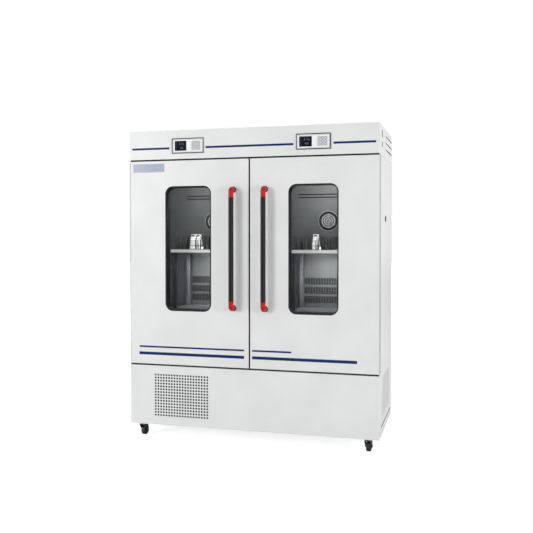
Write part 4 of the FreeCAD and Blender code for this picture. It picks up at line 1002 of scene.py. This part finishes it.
bezelZ = (bezelLow.z + bezelHigh.z) / 2
bezelTall = bezelHigh.z - bezelLow.z
bezelWide = 2 * (bezelHigh.x - chamberX)
displayFace = nodeBox("control_displays")[0].y
keypadLow, keypadHigh = nodeBox("control_keypads")
filmFace = keypadLow.y + keypad["sunk"]
lips = bmesh.new()
lines = bmesh.new()
litFigures = bmesh.new()
films = bmesh.new()
keyPlaces = []
for side, word in sides:
    x = side * chamberX
    framePiece(lips, x, bezelWide, bezelTall, lipFrame["wide"], bezelLow.y - lipFrame["proud"],
               frontY - lipFrame["back"])
    framePiece(lines, x, bezelWide - 2 * lineFrame["inset"], bezelTall - 2 * lineFrame["inset"],
               lineFrame["wide"], bezelLow.y - lineFrame["proud"], bezelLow.y + lineFrame["back"])
    centre = x + display["x"]
    for shown, left, level, tall in display["readings"]:
        reading(litFigures, shown, centre + left, bezelZ + level, tall)
    for level in display["marks"]:
        block(litFigures, (centre + display["markAt"][0], displayFace - display["proud"],
                           bezelZ + level - display["markHalf"]),
              (centre + display["markAt"][1], displayFace, bezelZ + level + display["markHalf"]))
    centre = x + keypad["x"]
    skin(films, [roundedLoop(centre, bezelZ, *keypad["film"], keypad["corner"], y, 4)
                 for y in (keypadHigh.y, filmFace)])
    keyPlaces += [(centre + column * keypad["pitch"], filmFace, bezelZ + row * keypad["pitch"])
                  for column in (-1, 0, 1) for row in (-1, 0, 1)]
addPiece("control_outlines", lips, "outline", "root")
addPiece("control_inner_lines", lines, "key", "root")
addPiece("display_figures", litFigures, "segment", "root")
addPiece("keypad_films", films, "keypad_film", "root", ["control_keypads"])
scatter("keypad_keys", disc(keypad["key"], keypad["keyTall"], keypad["keyEdge"]), keyPlaces, -back,
        "keypad_film", "root")
ring = flatRing(keypad["ring"], keypad["ring"] - keypad["ringWide"], keypad["ringTall"], keypad["ringSides"])
scatter("keypad_rings", ring, keyPlaces, -back, "key", "root")
print("control modules made")


# Air ducts in the chambers

# holes as (width, height), and middles as levels
duct = {"slot": (410, 8), "slotPitch": 20, "slotMiddle": 1562, "fan": 60, "fanSides": 48, "fanZ": 1394,
        "louvre": (7.8, 46), "louvreCount": (30, 3), "louvrePitch": (11, 61.5), "louvreMiddle": 928.5,
        "screwInset": 14, "screwOver": 150}
hood = {"lean": 1.2, "endLean": 0.15, "end": 3, "wide": 1.1, "sheet": 0.6, "sunk": 0.05}
ductShadeSheet = {"margin": 8, "slotHalf": 22, "louvreHalf": 95, "gap": 0.3, "thick": 1.0}
probe = {"radius": 5.0, "height": 3.0, "edge": 0.8,  # places from the fan's middle
         "left": ((-254, 4), (-301, 70)), "right": ((-188, 26), (-188, -16))}
ductHalf = ductHigh.x - chamberX
ductMiddle = (ductLow.z + ductHigh.z) / 2


def hoodShape():
    # pressed louvre lip that leans out over its slot
    shape = bmesh.new()
    start = -duct["louvre"][0] / 2
    half = duct["louvre"][1] / 2
    edge = start + hood["wide"]
    sheet = hood["sheet"]
    rows = []
    for z, share in ((-half, hood["endLean"]), (hood["end"] - half, 1.0), (half - hood["end"], 1.0),
                     (half, hood["endLean"])):
        lean = hood["lean"] * share
        rows.append([Vector((start, z, 0)), Vector((edge, z, lean)), Vector((edge, z, lean + sheet)),
                     Vector((start - sheet, z, sheet))])
    skin(shape, rows)
    return shape


def louvrePlaces():
    columns, rows = duct["louvreCount"]
    places = []
    for side, word in sides:
        for column in range(columns):
            for row in range(rows):
                x = side * chamberX + (column - (columns - 1) / 2) * duct["louvrePitch"][0]
                z = duct["louvreMiddle"] + (row - (rows - 1) / 2) * duct["louvrePitch"][1]
                places.append((x, ductLow.y - hood["sunk"], z))
    return places


def ductField(hole, count, pitch, centreZ, roundHoles=False):
    return {"round": roundHoles, "sides": duct["fanSides"], "hole": hole, "count": count, "pitch": pitch,
            "centre": (0, centreZ - ductMiddle)}


mesh = perforatedSheet("ductSheet", (2 * ductHalf, ductHigh.z - ductLow.z), ductHigh.y - ductLow.y, {
    "fan": ductField((2 * duct["fan"], 2 * duct["fan"]), (1, 1), (1, 1), duct["fanZ"], True),
    "slots": ductField(duct["slot"], (1, 2), (1, duct["slotPitch"]), duct["slotMiddle"]),
    "louvres": ductField(duct["louvre"], duct["louvreCount"], duct["louvrePitch"], duct["louvreMiddle"])})
bm = standUp(mesh, Vector((chamberX, ductHigh.y, ductMiddle)), "y")
mirrorAcross(bm)
addPiece("duct_covers_finished", bm, "liner_steel", "root", ["duct_covers"])

# dark sheets behind the slots and the louvres: painted shade for the dark behind them
bm = bmesh.new()
louvresWide = duct["louvreCount"][0] * duct["louvrePitch"][0]
near = ductHigh.y + ductShadeSheet["gap"]
for side, word in sides:
    for wide, middleZ, tall in ((duct["slot"][0], duct["slotMiddle"], ductShadeSheet["slotHalf"]),
                                (louvresWide, duct["louvreMiddle"], ductShadeSheet["louvreHalf"])):
        half = wide / 2 + ductShadeSheet["margin"]
        block(bm, (side * chamberX - half, near, middleZ - tall),
              (side * chamberX + half, near + ductShadeSheet["thick"], middleZ + tall))
addPiece("duct_filters", bm, "mesh", "root")
scatter("duct_hoods", hoodShape(), louvrePlaces(), -back, "liner_steel", "root")
inset = duct["screwInset"]
places = [(side * chamberX + x, ductLow.y, z)
          for side, word in sides for x in (inset - ductHalf, ductHalf - inset)
          for z in (ductLow.z + inset, duct["louvreMiddle"] + duct["screwOver"], ductHigh.z - inset)]
scatter("duct_screws", screwHead(1.0), places, -back, "screw", "root")
places = [(side * chamberX + x, ductLow.y, duct["fanZ"] + z) for side, word in sides for x, z in probe[word]]
scatter("probe_plugs", disc(probe["radius"], probe["height"], probe["edge"]), places, -back,
        "fan_plastic", "root")

# fan guard: flange and pad as (outer, inner) radii, rings by the middle of their wire
guard = {"flange": (67, 65), "pad": (65, 50), "padShare": 0.8, "rings": (42, 28, 14), "wire": 5.0,
         "thick": 1.4, "spoke": 1.6, "ringSides": 40, "flangeSides": 56}
places = [(side * chamberX, guardLow.y + guard["thick"], duct["fanZ"]) for side, word in sides]
for index, radius in enumerate(guard["rings"]):
    half = guard["wire"] / 2
    ring = flatRing(radius + half, radius - half, guard["thick"], guard["ringSides"])
    scatter("guard_ring_" + str(index + 1), ring, places, -back, "guard_wire", "root", ["fan_guards"])
ring = flatRing(*guard["flange"], guard["thick"], guard["flangeSides"])
scatter("guard_flange", ring, places, -back, "guard_wire", "root", ["fan_guards"])
ring = flatRing(*guard["pad"], guard["thick"] * guard["padShare"], guard["flangeSides"])
scatter("guard_pad", ring, places, -back, "rubber", "root")
cross = bmesh.new()
reach = guard["flange"][1]
half = guard["spoke"] / 2
block(cross, (-reach, -half, -guard["thick"]), (reach, half, 0))
block(cross, (-half, -reach, -guard["thick"]), (half, reach, 0))
scatter("guard_spokes", cross, places, -back, "guard_wire", "root", ["fan_guards"])
print("air ducts made")


# Racks: clamps with their garter springs, and flasks

rackEdge = {"start": 0.02, "proud": 0.8, "tall": 20.0, "below": 0.4}
clamp = {"columns": 4, "rows": 3, "pitch": (93, 92), "middleY": -2.5, "level": 1206.5,
         "base": 62, "sheet": 1.5, "over": 0.05, "thick": 1.1,
         # a finger's line as (radius, height) and its width at each point
         "path": ((31.8, 0.0), (31.8, 33), (27.6, 54), (28.0, 57), (50.5, 83)), "wide": (9, 6, 4.5, 4.5, 4)}
garter = {"wire": 1.5, "waist": 0.72, "gap": 0.4, "level": 55, "steps": 40, "sides": 6}
flask = {"base": 30.5, "neckRadius": 17.6, "tall": 97, "neckTall": 10, "wall": 2.0, "sides": 40,
         "left": ((1, 0), (1, 1)), "right": ((1, 1),)}  # the clamps that hold one, as (column, row)
band = {"low": 20, "high": 26, "proud": 0.15, "thick": 1.0}
# the dark patch on each neck, in painted shade
mark = {"angles": range(-125, -54, 10), "deep": 0.7,
        "rows": ((82, 0.6), (83, 0.9), (93, 0.35), (94, 0.2))}  # as (height, proud of the neck)


def clampPlace(side, column, row):
    x = side * chamberX + (column - (clamp["columns"] - 1) / 2) * clamp["pitch"][0]
    y = clamp["middleY"] + (row - (clamp["rows"] - 1) / 2) * clamp["pitch"][1]
    return Vector((x, y, clamp["level"]))


def clampShape():
    # base plate and four tapering spring fingers that close on the flask and flare out
    shape = bmesh.new()
    half = clamp["base"] / 2
    block(shape, (-half, -half, clamp["over"] - clamp["sheet"]), (half, half, 0))
    for quarter in range(4):
        turn = math.radians(45 + 90 * quarter)
        out = Vector((math.cos(turn), math.sin(turn), 0))
        aside = Vector((-math.sin(turn), math.cos(turn), 0))
        rows = []
        for (radius, z), wide in zip(clamp["path"], clamp["wide"]):
            near = out * radius + up * z
            far = out * (radius + clamp["thick"]) + up * z
            rows.append([near - aside * wide / 2, near + aside * wide / 2,
                         far + aside * wide / 2, far - aside * wide / 2])
        skin(shape, rows)
    return shape


def garterShape():
    # garter spring: a ring of wire with a coil's waist at every other step
    shape = bmesh.new()
    rows = []
    radius = clamp["path"][2][0] + clamp["thick"] + garter["wire"] + garter["gap"]
    for i in range(garter["steps"]):
        turn = 2 * math.pi * i / garter["steps"]
        out = Vector((math.cos(turn), math.sin(turn), 0))
        thick = garter["wire"] * (1.0 if i % 2 else garter["waist"])
        row = []
        for k in range(garter["sides"]):
            angle = 2 * math.pi * k / garter["sides"]
            row.append(out * (radius + thick * math.cos(angle))
                       + up * (garter["level"] + thick * math.sin(angle)))
        rows.append(row)
    skin(shape, rows, ring=True)
    return shape


# the flask's cone runs straight between these two (radius, height) points
coneFoot = (flask["base"], 4)
coneTop = (flask["neckRadius"] + 0.6, flask["tall"] - flask["neckTall"] - 2)


def flaskShape():
    # conical flask: rounded foot, straight cone, short neck with a beaded rim, hollow inside
    shape = bmesh.new()
    r = flask["base"]
    s = flask["neckRadius"]
    t = flask["wall"]
    rim = flask["tall"]
    neck = rim - flask["neckTall"]
    profile = [(r - 6, 0), (r - 2, 0.2), (r - 0.5, 1.4), coneFoot, coneTop, (s, neck + 1), (s, rim - 4),
               (s + 1.1, rim - 3.2), (s + 1.1, rim - 0.8), (s + 0.4, rim), (s - t, rim), (s - t, neck),
               (r - t - 0.6, 5), (r - 8, 3)]
    lathe(shape, profile, Vector(), up, flask["sides"])
    return shape


def bandShape():
    # printed filling band, a little flatter than the flask's cone so that it stands proud of it
    slope = (coneTop[0] - coneFoot[0]) / (flask["tall"] - flask["neckTall"] - coneFoot[1])
    low, high = [coneFoot[0] + (z - coneFoot[1]) * slope + band["proud"] for z in (band["low"], band["high"])]
    shape = bmesh.new()
    rows = [(low - band["thick"], band["low"]), (low, band["low"]), (high, band["high"]),
            (high - band["thick"], band["high"])]
    skin(shape, [circleLoop(up * h, up, radius, flask["sides"]) for radius, h in rows], ring=True)
    return shape


def neckShadeShape():
    # dark patch on the front of the neck: painted shade for the flask's shaded mouth
    shape = bmesh.new()
    outs = [Vector((math.cos(math.radians(a)), math.sin(math.radians(a)), 0)) for a in mark["angles"]]
    rows = []
    for z, proud in mark["rows"]:
        radius = flask["neckRadius"] + proud
        rows.append([out * (radius - mark["deep"]) + up * z for out in outs]
                    + [out * radius + up * z for out in reversed(outs)])
    skin(shape, rows)
    return shape


def rackEdging(rackNode):
    # a moulded strip round the edge of the upper platform, white as a painted highlight
    low, high = nodeBox(rackNode)
    bottom = high.z - rackEdge["tall"]
    top = high.z - rackEdge["below"]
    rows = []
    for out, z in ((rackEdge["start"], bottom), (rackEdge["proud"], bottom), (rackEdge["proud"], top),
                   (rackEdge["start"], top)):
        rows.append([Vector((low.x - out, low.y - out, z)), Vector((high.x + out, low.y - out, z)),
                     Vector((high.x + out, high.y + out, z)), Vector((low.x - out, high.y + out, z))])
    bm = bmesh.new()
    skin(bm, rows, ring=True)
    return bm


for side, word in sides:
    body = "rack_" + word
    addPiece("rack_edge_" + word, rackEdging(body), "edge", body)
    softCopy(body, "rack_aluminium", rounding["rack"])
    places = [clampPlace(side, column, row)
              for column in range(clamp["columns"]) for row in range(clamp["rows"])]
    scatter("clamp_fingers_" + word, clampShape(), places, up, "clamp_steel", body, ["clamps_" + word])
    scatter("clamp_springs_" + word, garterShape(), places, up, "clamp_steel", body)
    places = [clampPlace(side, column, row) for column, row in flask[word]]
    scatter("flask_glass_" + word, flaskShape(), places, up, "flask_white", body, ["flasks_" + word])
    scatter("flask_bands_" + word, bandShape(), places, up, "band", body)
    scatter("flask_marks_" + word, neckShadeShape(), places, up, "outline", body)
print("racks made")


# Pieces that keep their CAD shape with rounded edges

plainParts = {
    "access_ports": "port_plastic", "header_electronics": "board_laminate", "control_bezels": "bezel_plastic",
    "control_displays": "display_glass", "switch_bezels": "switch_plastic",
    "switch_rocker_upper": "switch_plastic", "switch_rocker_lower": "switch_plastic",
    "hinge_pins": "hinge_steel", "evaporators": "coil_aluminium",
    "fan_motors": "motor_enamel", "fan_left": "fan_aluminium",
    "fan_right": "fan_aluminium", "drive_frames": "drive_enamel", "drive_motors": "motor_enamel",
}
for side, word in sides:
    plainParts["crank_" + word] = "crank_steel"
    plainParts["idler_" + word + "_front"] = "crank_steel"
    plainParts["idler_" + word + "_rear"] = "crank_steel"
for node, finish in plainParts.items():
    softCopy(node, finish, rounding["small"])
print("inside made")


# Stage, lights and camera

def addLamp(name, place, target, size, power, spread=180):
    data = bpy.data.lights.new(name, "AREA")
    data.shape = "RECTANGLE"
    data.size, data.size_y = size
    data.energy = power
    data.spread = math.radians(spread)
    lamp = addObject(name, data)
    lamp.location = place
    lamp.rotation_mode = "QUATERNION"
    lamp.rotation_quaternion = (Vector(target) - Vector(place)).to_track_quat("-Z", "Y")


# in metres: each lamp's place, what it points at, its size and its watts
studio = {
    "world": 0.46, "floor": "#f4f4f4", "floorShade": "#f0f0f0", "floorHalf": 30, "lift": 0.8,
    "key": ((-5.0, -6.3, 2.3), (0.2, 0, 1.0), (2.0, 2.0), 212),
    "fill": ((5.6, -2.4, 1.3), (0.4, 0, 0.9), (3.0, 2.4), 128),
    "rear": ((-1.5, 6.0, 4.0), (0, 0, 1.2), (3.0, 3.0), 150),
}
# lamps inside each chamber, behind the window's top and under the upper platform;
# place and target are (y, z), and x is the middle of the chamber
chamberLamp = {"place": (-0.245, 1.655), "target": (0.0, 1.15), "size": (0.4, 0.04), "watts": 6.0}
shelfLamp = {"place": (-0.06, 1.175), "target": (0.22, 0.86), "size": (0.3, 0.2), "watts": 3.4, "spread": 110}


def makeWorld():
    # plain world light, shown white to the camera and in metal and glass
    world = bpy.data.worlds.new("studioWorld")
    bpy.context.scene.world = world
    tree = emptyTree(world)
    rays = addNode(tree, "ShaderNodeLightPath")
    seen = addNode(tree, "ShaderNodeMath", {"operation": "MAXIMUM"}, {
        0: rays.outputs["Is Camera Ray"], 1: rays.outputs["Is Glossy Ray"]})
    shown = addNode(tree, "ShaderNodeMath", {"operation": "MAXIMUM"}, {
        0: seen.outputs[0], 1: rays.outputs["Is Transmission Ray"]})
    strength = addNode(tree, "ShaderNodeMapRange", inputs={
        "Value": shown.outputs[0], "To Min": studio["world"], "To Max": 1.0})
    light = addNode(tree, "ShaderNodeBackground", inputs={
        "Color": (1, 1, 1, 1), "Strength": strength.outputs["Result"]})
    addNode(tree, "ShaderNodeOutputWorld", inputs={"Surface": light.outputs[0]})


def makeFloor():
    # white studio floor: lifted to white for the camera, but still takes the shadow
    material = bpy.data.materials.new("studioFloor")
    tree = emptyTree(material)
    rays = addNode(tree, "ShaderNodeLightPath")
    lift = addNode(tree, "ShaderNodeMath", {"operation": "MULTIPLY"}, {
        0: rays.outputs["Is Camera Ray"], 1: studio["lift"]})
    place = addNode(tree, "ShaderNodeTexCoord")
    cloud = addNode(tree, "ShaderNodeTexNoise", inputs={"Vector": place.outputs["Object"], "Scale": 3.0})
    tone = addNode(tree, "ShaderNodeMix", {"data_type": "RGBA"}, {
        0: cloud.outputs["Fac"], 6: linear(studio["floor"]), 7: linear(studio["floorShade"])})
    shader = addNode(tree, "ShaderNodeBsdfPrincipled", inputs={
        "Base Color": tone.outputs[2], "Roughness": 0.9, "Emission Color": (1, 1, 1, 1),
        "Emission Strength": lift.outputs[0]})
    addNode(tree, "ShaderNodeOutputMaterial", inputs={"Surface": shader.outputs[0]})
    mesh = bpy.data.meshes.new("floor")
    half = studio["floorHalf"]
    corners = [(-half, -half, 0), (half, -half, 0), (half, half, 0), (-half, half, 0)]
    mesh.from_pydata(corners, [], [(0, 1, 2, 3)])
    mesh.materials.append(material)
    floor = addObject("floor", mesh)
    floor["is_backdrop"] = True


makeWorld()
makeFloor()
for lamp in ("key", "fill", "rear"):
    addLamp(lamp + "Lamp", *studio[lamp])
for side, word in sides:
    x = side * chamberX / 1000
    for lampName, lamp in (("chamberLamp", chamberLamp), ("shelfLamp", shelfLamp)):
        addLamp(lampName, (x, *lamp["place"]), (x, *lamp["target"]), lamp["size"], lamp["watts"],
                lamp.get("spread", 180))

# in metres and degrees, fitted to the edges of the cabinet in the photo
camera = {"place": (1.291, -4.6225, 1.285), "tilt": 88.97, "turn": 15.33, "lens": 49.29, "shift": -0.0302,
          "sensor": 36}
cameraData = bpy.data.cameras.new("camera")
cameraData.lens = camera["lens"]
cameraData.sensor_width = camera["sensor"]
cameraData.shift_y = camera["shift"]
cameraObject = addObject("camera", cameraData)
cameraObject.location = camera["place"]
cameraObject.rotation_euler = (math.radians(camera["tilt"]), 0, math.radians(camera["turn"]))
bpy.context.scene.camera = cameraObject
bpy.context.scene.view_settings.view_transform = "Standard"

low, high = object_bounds()
